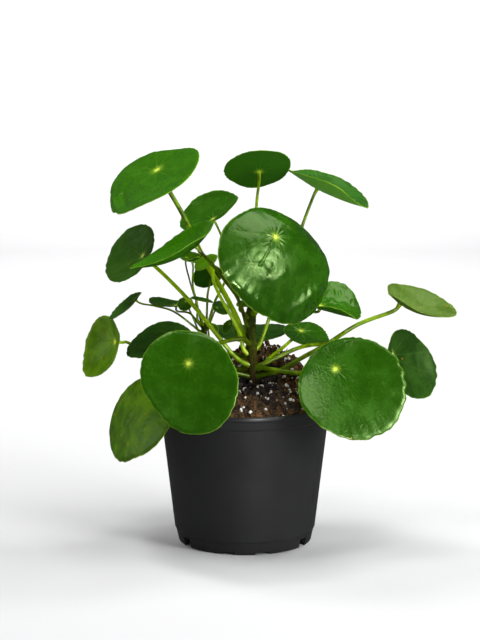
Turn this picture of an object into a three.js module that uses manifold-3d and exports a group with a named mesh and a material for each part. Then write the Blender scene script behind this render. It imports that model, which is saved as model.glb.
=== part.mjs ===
// A potted pilea: a round-leaved house plant in a black nursery pot.
// Millimetres, +Z up. The origin is the centre of the pot's underside, and -Y is the front.
import * as THREE from 'three';
import { mergeVertices } from 'three/addons/utils/BufferGeometryUtils.js';
import Module from 'manifold-3d';

const wasm = await Module();
wasm.setup();

// Pot: an azalea pot with a raised collar, a foot ring and a floor held clear of the ground.
const POT_HEIGHT = 122.5;
const RIM_RADIUS = 76;
const COLLAR_BOTTOM = 111;
const COLLAR_RADIUS = 73.9;
const BODY_TOP_RADIUS = 72.9;
const BODY_FOOT_RADIUS = 61.3;
const STEP_HEIGHT = 11.8;
const STEP_RADIUS = 60.4;
const FOOT_RADIUS = 58;
const WALL = 1.5;
const FLOOR_UNDERSIDE = 3;
const FLOOR_TOP = 5;
const PAD_RADIUS = 14;
const PAD_BEVEL = 1;
const FOOT_RING = { width: 2, bevel: 0.5 };
const STEP_RISE = 1;
const LIP = { height: 3.6, skirt: 0.9, inset: 1.1, bevel: 0.8, crown: 0.6, inside: 0.5 };
const COLLAR_BEVEL = { below: 0.5, above: 0.3, inside: 1.5 };
const FLOOR_FILLET = 1;
const POT_SIDES = 48;
const FOOT_CUT = { depth: 12, outside: 5, below: 1 };
const SLOT = { width: 10, height: 8, angles: [-58, 58, 122, -122] };
const FOOT_NOTCHES = { height: 2.3, width: 13, angles: [-15, 15, 165, -165] };

// Soil: heaped well above the rim, highest behind the trunk, with a hollow round the trunk's foot.
const GAP = 0.3;
const SOIL_EDGE = 118.5;
const SOIL_HEAP = { x: 16, y: 26, rise: 33, reach: 55 };
const SOIL_SHOULDER = 14;
const SOIL_HOLLOW = { x: 7, y: -21, depth: 9, reach: 15 };
const CRUMB = 0.9;
const SOIL_ROUNDING = 6;
const FLOOR_CLEARANCE = 1.2;
const SOIL_SIDES = 56;
const SOIL_RINGS = 11;
const RING_SPREAD = 0.9;
const STEM_HOLE_LENGTH = 60;

// Leaves: each is a round blade held a little off its centre by a long petiole.
const BLADE_THICKNESS = 0.9;
const SMALL_THICKNESS = 0.8;
const EDGE_SCALLOP = 0.008;
const EDGE_RIPPLE = 0.018;
const LARGE_RADIUS = 24;
const MESHES = {
  large: { sides: 32, shares: [0.4, 0.75, 1] },
  medium: { sides: 24, shares: [0.55, 1] },
  young: { sides: 16, shares: [0.55, 1] },
};
const STEM_STEPS = 14;
const PETIOLE = { sides: 6, leave: 2, rise: 0.4, neck: 3, stepLength: 9, fewest: 6, most: 14 };

const MERGE_DISTANCE = 1e-4;

const rad = THREE.MathUtils.degToRad;
const point = ([x, y, z]) => new THREE.Vector3(x, y, z);

const materials = {
  pot: new THREE.MeshStandardMaterial({ color: 0x2a2a2c, roughness: 0.45, metalness: 0 }),
  soil: new THREE.MeshStandardMaterial({ color: 0x3b2515, roughness: 0.95, metalness: 0 }),
  trunk: new THREE.MeshStandardMaterial({ color: 0x4d5216, roughness: 0.7, metalness: 0 }),
  blade: new THREE.MeshStandardMaterial({ color: 0x2f6a0c, roughness: 0.35, metalness: 0 }),
  shaded: new THREE.MeshStandardMaterial({ color: 0x2a4d1c, roughness: 0.4, metalness: 0 }),
  pale: new THREE.MeshStandardMaterial({ color: 0x5a8206, roughness: 0.4, metalness: 0 }),
  petiole: new THREE.MeshStandardMaterial({ color: 0x86a81a, roughness: 0.45, metalness: 0 }),
};

// Stems: the bare trunk, and the shoot beside it that carries the young plantlet.
// Each is a list of centre points from its buried end up.
const STEMS = {
  trunk: {
    radius: 3.6,
    sides: 12,
    points: [[7, -16, 124], [7, -16, 142], [6, -15, 169], [5, -14, 191], [6, -13, 208], [8, -12, 218]],
  },
  offset_stem: {
    radius: 2.4,
    sides: 10,
    points: [[-34, 4, 136], [-34, 4, 150], [-35, 5, 176], [-36, 6, 190]],
  },
};

// The large leaves. hub: where the petiole meets the blade. azimuth: the way the upper face looks.
// tilt: how far the blade leans from level. spin: turns the tip away from straight downhill.
// offset: how far the hub lies from the blade's centre, in radii. cup, fold and bend: how many
// millimetres the rim, the two sides and the tip rise above the hub's plane. lobe and skew: how
// far the outline strays from a circle, in radii. root: the height on the stem where the petiole
// starts. via: points on its way. grip: its radius.
const LEAVES = [
  { name: 'upper_left', hub: [-75, 2, 322], radius: 47, azimuth: -138, tilt: 32, spin: 18,
    offset: 0.31, cup: 1, fold: 0, bend: 2, lobe: [0.08, 0.05], skew: 0.06, root: 180, grip: 2.2,
    via: [[-7, -9, 196], [-18, -4, 217], [-34, 3, 243], [-53, 5, 283]] },
  { name: 'upper_middle', hub: [12, 30, 319], radius: 29, azimuth: 100, tilt: 38, spin: 161,
    offset: 0.25, cup: -1, fold: 1, bend: -1, root: 213, grip: 1.4,
    via: [[10, 0, 240], [10, 12, 265], [10, 20, 290]] },
  { name: 'upper_right', hub: [62, 5, 306], radius: 37.6, azimuth: -9, tilt: 25, spin: 0,
    offset: 0.23, cup: 3, fold: 10, bend: 1, skew: 0.03, root: 171, grip: 1.5,
    via: [[21, -8, 196], [39, -4, 243], [50, 0, 277]] },
  { name: 'rear', hub: [-28, 45, 276], radius: 29, azimuth: -150, tilt: 34, spin: 247,
    offset: 0.46, cup: 4, fold: 0, bend: 3, lobe: [0.02, 0.03], root: 186, grip: 1.1,
    stem: 'offset_stem', via: [[-26, 14, 207], [-17, 22, 225], [-15, 30, 243], [-20, 38, 260]] },
  { name: 'left_cupped', hub: [-41, -48, 262], radius: 38, azimuth: -175, tilt: 34, spin: -33,
    offset: 0.47, cup: 6, fold: 6, bend: 4, lobe: [0, 0.03], skew: 0.03, root: 190, grip: 1.5,
    via: [[-6, -33, 216], [-17, -37, 232], [-28, -43, 247]] },
  { name: 'left_shaded', hub: [-88, 4, 248], radius: 29, azimuth: -146, tilt: 57, spin: -85,
    offset: 0.5, cup: 3, fold: 2, bend: 2, root: 157, grip: 1.8, material: 'shaded',
    via: [[-9, -23, 165], [-20, -25, 179], [-47, -20, 212], [-68, -8, 232], [-79, 0, 241]] },
  { name: 'centre', hub: [25, -61, 271], radius: 49, azimuth: -57, tilt: 73, spin: 4, wide: 1.09,
    offset: 0.43, cup: -11, fold: 1, bend: -8, lobe: [-0.02, 0.04], skew: 0.09, root: 202, grip: 2.2,
    via: [[12, -28, 216], [16, -38, 240]] },
  { name: 'right_mid', hub: [65, 2, 205], radius: 29, azimuth: -56, tilt: 18, spin: 56, wide: 1.07,
    offset: 0.36, cup: 4, fold: 7, bend: -4, lobe: [-0.09, 0.07], skew: -0.03, root: 208, grip: 1.4,
    via: [[20, 2, 210], [44, 4, 203]] },
  { name: 'front_left', hub: [-46, -86, 170], radius: 42, azimuth: -101, tilt: 71, spin: 1, wide: 0.97,
    offset: 0.33, cup: -2, fold: 6, bend: -3, lobe: [0.01, 0.02], skew: 0.08, root: 176, grip: 1.8,
    via: [[-1, -28, 181], [-14, -38, 181], [-30, -58, 178]] },
  { name: 'front_right', hub: [75, -62, 161], radius: 45, azimuth: -88, tilt: 56, spin: 39,
    offset: 0.47, cup: -2, fold: 7, bend: -3, lobe: [0, 0.02], skew: -0.02, root: 154, grip: 1.9,
    via: [[26, -28, 154], [46, -38, 153]] },
  { name: 'far_right', hub: [133, -12, 209], radius: 31, azimuth: -17, tilt: 29, spin: 33,
    offset: 0.5, cup: 5, fold: 6, bend: 4, lobe: [0.07, -0.02], skew: 0.08, root: 147, grip: 1.9,
    via: [[30, -24, 153], [47, -24, 163], [69, -22, 175], [97, -18, 192]] },
  { name: 'right_shaded', hub: [128, 2, 162], radius: 33, azimuth: -29, tilt: 77, spin: 39,
    offset: 0.5, cup: 5, fold: 7, bend: 4, lobe: [0.07, 0.03], skew: 0.09, root: 155, grip: 1.7,
    material: 'shaded', via: [[26, -11, 161], [47, -8, 170], [66, -7, 173], [99, -2, 172]] },
  { name: 'far_left', hub: [-113, 10, 172], radius: 27, azimuth: -149, tilt: 77, spin: -58,
    offset: 0.5, cup: 4, fold: 5, bend: 3, lobe: [0.03, 0.06], skew: -0.02, root: 152, grip: 1.5,
    material: 'pale', via: [[-22, -9, 152], [-40, -5, 153], [-64, 12, 152], [-88, 30, 159], [-103, 30, 168]] },
  { name: 'low_left', hub: [-78, -50, 136], radius: 43, azimuth: -144, tilt: 56, spin: -18,
    offset: 0.46, cup: -5, fold: 2, bend: -5, lobe: [-0.02, -0.08], skew: -0.02, root: 147, grip: 1.7,
    material: 'pale', via: [[-8, -22, 150], [-38, -36, 150], [-62, -42, 143]] },
  { name: 'left_back', hub: [-57, 14, 171], radius: 31, azimuth: -88, tilt: 22, spin: -98,
    offset: 0.5, cup: -3, fold: 5, bend: -3, lobe: [-0.01, 0.03], root: 162, grip: 1.4,
    material: 'shaded', via: [[-11, -9, 165], [-24, -6, 164], [-42, 3, 160]] },
  { name: 'right_back', hub: [50, 40, 177], radius: 21, azimuth: -64, tilt: 23, spin: 14,
    offset: 0.38, cup: 1, fold: 1, bend: 1, lobe: [0.05, -0.02], skew: -0.03, root: 151, grip: 1.5,
    via: [[21, -4, 160], [32, 10, 166], [43, 28, 172]] },
  { name: 'behind_trunk', hub: [5, 50, 172], radius: 34, azimuth: -90, tilt: 8, spin: 180,
    offset: 0.5, cup: -2, fold: 3, bend: -2, root: 166, grip: 1.3, material: 'shaded',
    via: [[8, 3, 170], [8, 18, 168], [5, 33, 165], [5, 42, 165]] },
  { name: 'plantlet_far', hub: [-95, 10, 209], radius: 17, azimuth: -169, tilt: 49, spin: 2,
    offset: 0.5, cup: 1, fold: 4, bend: 2, lobe: [0.08, -0.01], skew: -0.08, root: 182, grip: 0.9,
    stem: 'offset_stem', material: 'shaded', via: [[-62, 2, 200], [-77, 4, 205], [-86, 8, 208]] },
  { name: 'plantlet_near', hub: [-60, 18, 203], radius: 14, azimuth: -115, tilt: 8, spin: -54,
    offset: 0.5, cup: 0, fold: 4, bend: 2, lobe: [0.08, -0.08], skew: -0.08, root: 187, grip: 0.9,
    stem: 'offset_stem', material: 'shaded', via: [[-48, 12, 197]] },
];

// The young leaves, small enough for blade and petiole to share one colour and one solid.
const YOUNG_LEAVES = [
  { name: 'young_flat', hub: [-51, 36, 243], radius: 11, azimuth: -60, tilt: 22, spin: 60,
    root: 186, grip: 0.8, stem: 'offset_stem', via: [[-42, 19, 204], [-48, 29, 222]] },
  { name: 'young_folded', hub: [-46, 14, 243], radius: 6, azimuth: 160, tilt: 20, spin: 180,
    root: 189, grip: 0.9, stem: 'offset_stem', via: [[-41, 6, 204], [-45, 6, 222]] },
  { name: 'young_bright', hub: [-30, -14, 247], radius: 11, azimuth: -140, tilt: 35, spin: 0,
    root: 167, grip: 1.5, via: [[-4, -18, 182], [-10, -21, 196], [-19, -20, 212], [-27, -17, 230]] },
  { name: 'young_underside', hub: [-29, 13, 233], radius: 13, azimuth: 100, tilt: 60, spin: 35,
    lobe: [0.06, 0], root: 183, grip: 1.0, stem: 'offset_stem', via: [[-33, 12, 198], [-32, 10, 216]] },
  { name: 'young_edge_on', hub: [-41, -9, 212], radius: 10, azimuth: 0, tilt: 12, spin: 0,
    root: 189, grip: 0.8, stem: 'offset_stem', via: [[-38, -3, 200]] },
  { name: 'young_dark', hub: [-24, -2, 204], radius: 8, azimuth: -60, tilt: 40, spin: 60,
    root: 184, grip: 0.8, stem: 'offset_stem', via: [[-29, 1, 193]] },
  { name: 'young_left', hub: [-51, 0, 209], radius: 7, azimuth: -100, tilt: 50, spin: 0,
    root: 178, grip: 0.8, stem: 'offset_stem', via: [[-44, 0, 193]] },
  { name: 'young_low', hub: [-28, 10, 186], radius: 5, azimuth: -20, tilt: 50, spin: 0,
    root: 175, grip: 0.8, stem: 'offset_stem', via: [[-31, 9, 180]] },
  { name: 'young_crown', hub: [-4, -22, 209], radius: 6, azimuth: -90, tilt: 20, spin: 90,
    root: 198, grip: 1.0, via: [[0, -20, 203]] },
  { name: 'young_trunk', hub: [-13, 2, 189], radius: 7, azimuth: -150, tilt: 60, spin: 0,
    root: 174, grip: 0.9, via: [[-6, -4, 179]] },
];

// ---- solids ----

function solidOf(geometry) {
  const bare = geometry.index ? geometry.toNonIndexed() : geometry.clone();
  bare.deleteAttribute('normal');
  bare.deleteAttribute('uv');
  const merged = mergeVertices(bare, MERGE_DISTANCE);
  return new wasm.Manifold(new wasm.Mesh({
    numProp: 3,
    vertProperties: new Float32Array(merged.attributes.position.array),
    triVerts: new Uint32Array(merged.index.array),
  }));
}

function geometryOf(solid) {
  const mesh = solid.getMesh();
  const geometry = new THREE.BufferGeometry();
  geometry.setAttribute('position', new THREE.BufferAttribute(mesh.vertProperties, 3));
  geometry.setIndex(new THREE.BufferAttribute(mesh.triVerts, 1));
  return geometry;
}

function sweep(path, radius, sides, steps) {
  const section = new THREE.Shape();
  for (let i = 0; i < sides; i++) {
    const angle = (i / sides) * Math.PI * 2;
    const move = i === 0 ? 'moveTo' : 'lineTo';
    section[move](radius * Math.cos(angle), radius * Math.sin(angle));
  }
  return new THREE.ExtrudeGeometry(section, { steps, extrudePath: path, bevelEnabled: false });
}

// ---- pot ----

function bodyRadius(z) {
  return THREE.MathUtils.mapLinear(z, STEP_HEIGHT, COLLAR_BOTTOM, BODY_FOOT_RADIUS, BODY_TOP_RADIUS);
}

function innerRadius(z) {
  if (z < COLLAR_BOTTOM) return bodyRadius(z) - WALL;
  return THREE.MathUtils.mapLinear(z, COLLAR_BOTTOM, POT_HEIGHT, BODY_TOP_RADIUS, RIM_RADIUS) - WALL;
}

function potProfile() {
  const outline = [
    [0, 0],
    [PAD_RADIUS, 0],
    [PAD_RADIUS + PAD_BEVEL, FLOOR_UNDERSIDE],
    [FOOT_RADIUS - FOOT_RING.width - FOOT_RING.bevel, FLOOR_UNDERSIDE],
    [FOOT_RADIUS - FOOT_RING.width, 0],
    [FOOT_RADIUS, 0],
    [STEP_RADIUS, STEP_HEIGHT - STEP_RISE],
    [BODY_FOOT_RADIUS, STEP_HEIGHT],
    [bodyRadius(COLLAR_BOTTOM - COLLAR_BEVEL.below), COLLAR_BOTTOM - COLLAR_BEVEL.below],
    [COLLAR_RADIUS, COLLAR_BOTTOM + COLLAR_BEVEL.above],
    [RIM_RADIUS - LIP.inset, POT_HEIGHT - LIP.height - LIP.skirt],
    [RIM_RADIUS, POT_HEIGHT - LIP.height],
    [RIM_RADIUS, POT_HEIGHT - LIP.bevel],
    [RIM_RADIUS - LIP.crown, POT_HEIGHT],
    [innerRadius(POT_HEIGHT) + LIP.inside, POT_HEIGHT],
    [innerRadius(POT_HEIGHT), POT_HEIGHT - LIP.bevel],
    [innerRadius(COLLAR_BOTTOM), COLLAR_BOTTOM],
    [innerRadius(COLLAR_BOTTOM - COLLAR_BEVEL.inside), COLLAR_BOTTOM - COLLAR_BEVEL.inside],
    [innerRadius(STEP_HEIGHT), STEP_HEIGHT],
    [FOOT_RADIUS - WALL, FLOOR_TOP + FLOOR_FILLET],
    [FOOT_RADIUS - WALL - FLOOR_FILLET, FLOOR_TOP],
    [0, FLOOR_TOP],
  ];
  return outline.map(([r, z]) => new THREE.Vector2(r, z));
}

function lathe(profile, sides) {
  const geometry = new THREE.LatheGeometry(profile, sides);
  geometry.rotateX(Math.PI / 2);
  return geometry;
}

// A block that cuts the foot ring at the given angle from the front, open downward.
function footCutter(angle, width, height) {
  const { depth, outside, below } = FOOT_CUT;
  const block = new THREE.BoxGeometry(width, depth, height + below);
  block.translate(0, -(FOOT_RADIUS + outside - depth / 2), (height - below) / 2);
  block.rotateZ(rad(angle));
  return solidOf(block);
}

function makePot() {
  let pot = solidOf(lathe(potProfile(), POT_SIDES));
  for (const angle of SLOT.angles) pot = pot.subtract(footCutter(angle, SLOT.width, SLOT.height));
  for (const angle of FOOT_NOTCHES.angles) {
    pot = pot.subtract(footCutter(angle, FOOT_NOTCHES.width, FOOT_NOTCHES.height));
  }
  return geometryOf(pot);
}

// ---- soil ----

function bump(x, y, { x: cx, y: cy, reach }) {
  return Math.exp(-((x - cx) ** 2 + (y - cy) ** 2) / reach ** 2);
}

function crumbs(x, y) {
  return CRUMB * (Math.sin(x * 0.71 + 1.3 * Math.sin(y * 0.33)) * Math.cos(y * 0.62 + Math.sin(x * 0.41))
    + 0.5 * Math.sin(x * 1.3 + y * 0.9));
}

function soilHeight(x, y) {
  const inside = 1 - (Math.hypot(x, y) / innerRadius(SOIL_EDGE)) ** SOIL_ROUNDING;
  const heap = SOIL_SHOULDER + SOIL_HEAP.rise * bump(x, y, SOIL_HEAP);
  const hollow = SOIL_HOLLOW.depth * bump(x, y, SOIL_HOLLOW);
  return SOIL_EDGE + Math.max(inside, 0) * (heap - hollow + crumbs(x, y));
}

// A closed body of revolution-like rings: the heaped top, the side against the wall, the base.
function soilBody() {
  const rings = [];
  const topRadius = innerRadius(SOIL_EDGE) - 2 * GAP;
  for (let ring = 1; ring <= SOIL_RINGS; ring++) {
    rings.push({ radius: topRadius * (ring / SOIL_RINGS) ** RING_SPREAD, height: soilHeight });
  }
  const levels = [COLLAR_BOTTOM, COLLAR_BOTTOM - COLLAR_BEVEL.inside, STEP_HEIGHT];
  for (const level of levels) rings.push({ radius: innerRadius(level) - 2 * GAP, height: () => level });
  const footRadius = FOOT_RADIUS - WALL - FLOOR_CLEARANCE - 2 * GAP;
  rings.push({ radius: footRadius, height: () => FLOOR_TOP + FLOOR_CLEARANCE });
  rings.push({ radius: footRadius, height: () => FLOOR_TOP + GAP });
  const positions = [0, 0, soilHeight(0, 0)];
  for (const { radius, height } of rings) {
    for (let i = 0; i < SOIL_SIDES; i++) {
      const angle = (i / SOIL_SIDES) * Math.PI * 2;
      const x = radius * Math.cos(angle);
      const y = radius * Math.sin(angle);
      positions.push(x, y, height(x, y));
    }
  }
  positions.push(0, 0, FLOOR_TOP + GAP);
  return ringedBody(positions, rings.length, SOIL_SIDES);
}

// Joins a first pole, rings of equal count and a last pole into one closed surface.
function ringedBody(positions, rings, sides) {
  const faces = [];
  const last = positions.length / 3 - 1;
  const at = (ring, i) => 1 + ring * sides + (i % sides);
  for (let i = 0; i < sides; i++) {
    faces.push(0, at(0, i), at(0, i + 1));
    for (let ring = 0; ring + 1 < rings; ring++) {
      faces.push(at(ring, i), at(ring + 1, i), at(ring + 1, i + 1));
      faces.push(at(ring, i), at(ring + 1, i + 1), at(ring, i + 1));
    }
    faces.push(last, at(rings - 1, i + 1), at(rings - 1, i));
  }
  const geometry = new THREE.BufferGeometry();
  geometry.setAttribute('position', new THREE.Float32BufferAttribute(positions, 3));
  geometry.setIndex(faces);
  return geometry;
}

function stemCurve({ points }) {
  return new THREE.CatmullRomCurve3(points.map(point), false, 'centripetal');
}

function makeSoil() {
  let soil = solidOf(soilBody());
  for (const { points, radius, sides } of Object.values(STEMS)) {
    const [x, y, z] = points[0];
    const hole = new THREE.CylinderGeometry(radius + 2 * GAP, radius + 2 * GAP, STEM_HOLE_LENGTH, sides);
    hole.rotateX(Math.PI / 2);
    hole.translate(x, y, z - GAP + STEM_HOLE_LENGTH / 2);
    soil = soil.subtract(solidOf(hole));
  }
  return geometryOf(soil);
}

// ---- stems and petioles ----

function makeStem(stem) {
  return sweep(stemCurve(stem), stem.radius, stem.sides, STEM_STEPS);
}

function stemCentre(stem, z) {
  const points = stem.points;
  const upper = Math.max(1, points.findIndex((p) => p[2] >= z));
  const [low, high] = [point(points[upper - 1]), point(points[upper])];
  return low.lerp(high, (z - low.z) / (high.z - low.z));
}

// The blade's own axes: normal out of its upper face, tip from hub to tip, and side across.
function bladeAxes({ azimuth, tilt, spin }) {
  const lean = rad(tilt);
  const heading = rad(azimuth);
  const normal = new THREE.Vector3(
    Math.sin(lean) * Math.cos(heading),
    Math.sin(lean) * Math.sin(heading),
    Math.cos(lean),
  );
  const tip = new THREE.Vector3(
    Math.cos(lean) * Math.cos(heading),
    Math.cos(lean) * Math.sin(heading),
    -Math.sin(lean),
  ).applyAxisAngle(normal, rad(spin));
  return { normal, tip, side: normal.clone().cross(tip) };
}

// The way out of the blade's lower face at the hub, which the cup's slope there turns a little.
function undersideAt(leaf) {
  const { normal, tip } = bladeAxes(leaf);
  const slope = (-2 * (leaf.cup ?? 1) * (leaf.offset ?? 0.4)) / leaf.radius;
  return tip.multiplyScalar(slope).sub(normal).normalize();
}

function petiolePath(leaf, sink) {
  const stem = STEMS[leaf.stem ?? 'trunk'];
  const centre = stemCentre(stem, leaf.root);
  const out = point(leaf.via[0]).sub(centre).setZ(0).normalize();
  const start = centre.clone().addScaledVector(out, stem.radius + 2 * GAP + 0.1 * leaf.grip);
  const bend = start.clone().addScaledVector(out, PETIOLE.leave + leaf.grip);
  bend.z += PETIOLE.rise;
  const under = undersideAt(leaf);
  const neck = point(leaf.hub).addScaledVector(under, PETIOLE.neck + 2 * leaf.grip);
  const end = point(leaf.hub).addScaledVector(under, sink);
  const points = [start, bend, ...leaf.via.map(point), neck, end];
  return new THREE.CatmullRomCurve3(points, false, 'centripetal');
}

function makePetiole(leaf, sink) {
  const path = petiolePath(leaf, sink);
  const { sides, stepLength, fewest, most } = PETIOLE;
  const steps = Math.round(THREE.MathUtils.clamp(path.getLength() / stepLength, fewest, most));
  return sweep(path, leaf.grip, sides, steps);
}

// ---- blades ----

// A point of the blade's middle surface, at share (0 hub, 1 edge) along the ray at the given angle.
function bladePoint(leaf, angle, share) {
  const { radius, offset = 0.4, cup = 1, fold = 1, bend = 0, lobe = [0, 0], skew = 0 } = leaf;
  const { wide = 1, seed } = leaf;
  const circle = offset * Math.cos(angle) + Math.sqrt(1 - (offset * Math.sin(angle)) ** 2);
  const stray = lobe[0] * Math.cos(3 * angle) + lobe[1] * Math.sin(3 * angle) + skew * Math.sin(2 * angle);
  const scallop = EDGE_SCALLOP * (Math.sin(5 * angle + seed) + 0.7 * Math.sin(8 * angle + 2 * seed));
  const reach = share * circle * (1 + stray + scallop);
  const x = reach * Math.cos(angle);
  const y = wide * reach * Math.sin(angle);
  const bowl = cup * ((x - offset) ** 2 + y ** 2 - offset ** 2);
  const ripple = EDGE_RIPPLE * radius * Math.sin(4 * angle + 3 * seed) * share ** 3;
  return new THREE.Vector3(x * radius, y * radius, bowl + fold * y ** 2 + bend * x ** 2 + ripple);
}

function makeBlade(leaf, thickness, { sides, shares }) {
  const { normal, tip, side } = bladeAxes(leaf);
  const toPlant = new THREE.Matrix4().makeBasis(tip, side, normal).setPosition(...leaf.hub);
  const positions = [];
  const add = (angle, share, lift) => {
    const p = bladePoint(leaf, angle, share);
    p.z += lift;
    positions.push(...p.applyMatrix4(toPlant).toArray());
  };
  const addFace = (lift, order) => {
    for (const share of order) {
      for (let i = 0; i < sides; i++) add((i / sides) * Math.PI * 2, share, lift);
    }
  };
  add(0, 0, thickness / 2);
  addFace(thickness / 2, shares);
  addFace(-thickness / 2, [...shares].reverse());
  add(0, 0, -thickness / 2);
  return bladeBody(positions, shares.length, sides);
}

// Like ringedBody, but each lower face is split along the same diagonal as the one above it.
function bladeBody(positions, count, sides) {
  const faces = [];
  const last = positions.length / 3 - 1;
  const upper = (ring, i) => 1 + ring * sides + (i % sides);
  const lower = (ring, i) => 1 + (2 * count - 1 - ring) * sides + (i % sides);
  for (let i = 0; i < sides; i++) {
    faces.push(0, upper(0, i), upper(0, i + 1));
    faces.push(last, lower(0, i + 1), lower(0, i));
    for (let ring = 0; ring + 1 < count; ring++) {
      faces.push(upper(ring, i), upper(ring + 1, i), upper(ring + 1, i + 1));
      faces.push(upper(ring, i), upper(ring + 1, i + 1), upper(ring, i + 1));
      faces.push(lower(ring, i), lower(ring + 1, i + 1), lower(ring + 1, i));
      faces.push(lower(ring, i), lower(ring, i + 1), lower(ring + 1, i + 1));
    }
    const edge = count - 1;
    faces.push(upper(edge, i), lower(edge, i), lower(edge, i + 1));
    faces.push(upper(edge, i), lower(edge, i + 1), upper(edge, i + 1));
  }
  const geometry = new THREE.BufferGeometry();
  geometry.setAttribute('position', new THREE.Float32BufferAttribute(positions, 3));
  geometry.setIndex(faces);
  return geometry;
}

function makeYoungLeaf(leaf) {
  const petiole = solidOf(makePetiole(leaf, 0));
  const blade = solidOf(makeBlade(leaf, SMALL_THICKNESS, MESHES.young));
  return geometryOf(petiole.add(blade));
}

// ---- the plant ----

const plant = new THREE.Group();

function add(name, geometry, material) {
  const mesh = new THREE.Mesh(geometry, material);
  mesh.name = name;
  plant.add(mesh);
}

add('pot', makePot(), materials.pot);
add('soil', makeSoil(), materials.soil);
for (const [name, stem] of Object.entries(STEMS)) add(name, makeStem(stem), materials.trunk);

LEAVES.forEach((leaf, index) => {
  leaf.seed = index;
  const mesh = leaf.radius > LARGE_RADIUS ? MESHES.large : MESHES.medium;
  const blade = makeBlade(leaf, BLADE_THICKNESS, mesh);
  add(`blade_${leaf.name}`, blade, materials[leaf.material ?? 'blade']);
  const sink = BLADE_THICKNESS / 2 + 2 * GAP + (Math.abs(leaf.cup) * leaf.grip) / leaf.radius;
  const petiole = makePetiole(leaf, sink);
  add(`petiole_${leaf.name}`, petiole, materials.petiole);
});

YOUNG_LEAVES.forEach((leaf, index) => {
  leaf.seed = index;
  add(`leaf_${leaf.name}`, makeYoungLeaf(leaf), materials.blade);
});

export default plant;
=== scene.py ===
import math

import bpy
import numpy as np
from mathutils import Matrix, Vector


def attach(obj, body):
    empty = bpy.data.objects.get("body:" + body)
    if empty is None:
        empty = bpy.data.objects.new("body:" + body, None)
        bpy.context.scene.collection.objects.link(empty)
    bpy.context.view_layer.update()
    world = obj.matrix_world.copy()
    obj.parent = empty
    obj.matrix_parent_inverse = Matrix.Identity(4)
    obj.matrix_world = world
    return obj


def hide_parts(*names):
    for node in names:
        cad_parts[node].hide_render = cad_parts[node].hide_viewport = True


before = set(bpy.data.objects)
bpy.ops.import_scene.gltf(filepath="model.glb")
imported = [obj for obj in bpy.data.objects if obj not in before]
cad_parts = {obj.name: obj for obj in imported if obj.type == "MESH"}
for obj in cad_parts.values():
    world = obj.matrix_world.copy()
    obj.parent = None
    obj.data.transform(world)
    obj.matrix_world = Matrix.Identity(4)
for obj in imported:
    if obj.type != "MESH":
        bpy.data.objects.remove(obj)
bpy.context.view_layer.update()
mm = 0.001
body = "root"


# Shared helpers.

def linearColour(hexText):
    # sRGB hex to the linear values that Blender's sockets take
    parts = [int(hexText[i:i + 2], 16) / 255 for i in (0, 2, 4)]
    return tuple(p / 12.92 if p <= 0.04045 else ((p + 0.055) / 1.055) ** 2.4 for p in parts) + (1.0,)


def addNode(tree, kind, inputs=None, **settings):
    # a node with its settings; an input is a value or the socket to link
    node = tree.nodes.new(kind)
    for name, value in settings.items():
        setattr(node, name, value)
    for key, value in (inputs or {}).items():
        if isinstance(value, bpy.types.NodeSocket):
            tree.links.new(value, node.inputs[key])
        else:
            node.inputs[key].default_value = value
    return node


def newMaterial(name, constants):
    # the shader's own sockets hold what is the same all over
    material = bpy.data.materials.new(name)
    material.use_nodes = True
    tree = material.node_tree
    shader = tree.nodes["Principled BSDF"]
    for socket, value in constants.items():
        shader.inputs[socket].default_value = value
    return material, tree, shader


def newTree(name, inputs):
    # a geometry tree with named inputs and one output
    tree = bpy.data.node_groups.new(name, "GeometryNodeTree")
    for label, kind in inputs:
        tree.interface.new_socket(label, in_out="INPUT", socket_type="NodeSocket" + kind)
    tree.interface.new_socket("Geometry", in_out="OUTPUT", socket_type="NodeSocketGeometry")
    return tree, addNode(tree, "NodeGroupInput").outputs, addNode(tree, "NodeGroupOutput")


def bake(obj, tree=None, values=None):
    # runs the object's modifiers, with the tree last, and keeps the plain mesh
    if tree:
        modifier = obj.modifiers.new(tree.name, "NODES")
        modifier.node_group = tree
        sockets = {item.name: item.identifier for item in tree.interface.items_tree
                   if item.in_out == "INPUT"}
        for label, value in values.items():
            modifier[sockets[label]] = value
    view = bpy.context.evaluated_depsgraph_get()
    view.update()
    mesh = bpy.data.meshes.new_from_object(obj.evaluated_get(view), depsgraph=view)
    obj.modifiers.clear()
    obj.data = mesh
    mesh.name = obj.name


def newObject(name, vertices, faces=(), edges=(), material=None):
    # vertices in millimetres
    mesh = bpy.data.meshes.new(name)
    mesh.from_pydata((np.asarray(vertices, float) * mm).tolist(), list(edges), list(faces))
    mesh.update()
    if faces:
        mesh.shade_smooth()
    if material:
        mesh.materials.append(material)
    obj = bpy.data.objects.new(name, mesh)
    bpy.context.scene.collection.objects.link(obj)
    return obj


def addAttribute(obj, name, values):
    values = np.asarray(values, float)
    kind = "FLOAT_VECTOR" if values.ndim == 2 else "FLOAT"
    layer = obj.data.attributes.new(name, kind, "POINT")
    layer.data.foreach_set("vector" if values.ndim == 2 else "value", values.ravel())


def keepPiece(obj, slot, *nodes):
    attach(obj, body)
    if nodes:
        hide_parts(*nodes)


def ringFaces(first, count, sides):
    # quads between rings of equal count that follow each other
    faces = []
    for ring in range(count - 1):
        low = first + ring * sides
        for i in range(sides):
            j = (i + 1) % sides
            faces.append((low + i, low + sides + i, low + sides + j, low + j))
    return faces


def field(x, y, size, random, waves=18):
    # soft random lumps about one size across, from crossing waves
    total = np.zeros_like(x)
    for _ in range(waves):
        angle = random.uniform(0, math.tau)
        pitch = math.tau / (size * random.uniform(1.4, 2.6))
        phase = random.uniform(0, math.tau)
        total = total + np.sin(pitch * (x * math.cos(angle) + y * math.sin(angle)) + phase)
    return total / math.sqrt(waves / 2)


def smooth(low, high, value):
    t = np.clip((value - low) / (high - low), 0, 1)
    return t * t * (3 - 2 * t)


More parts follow.
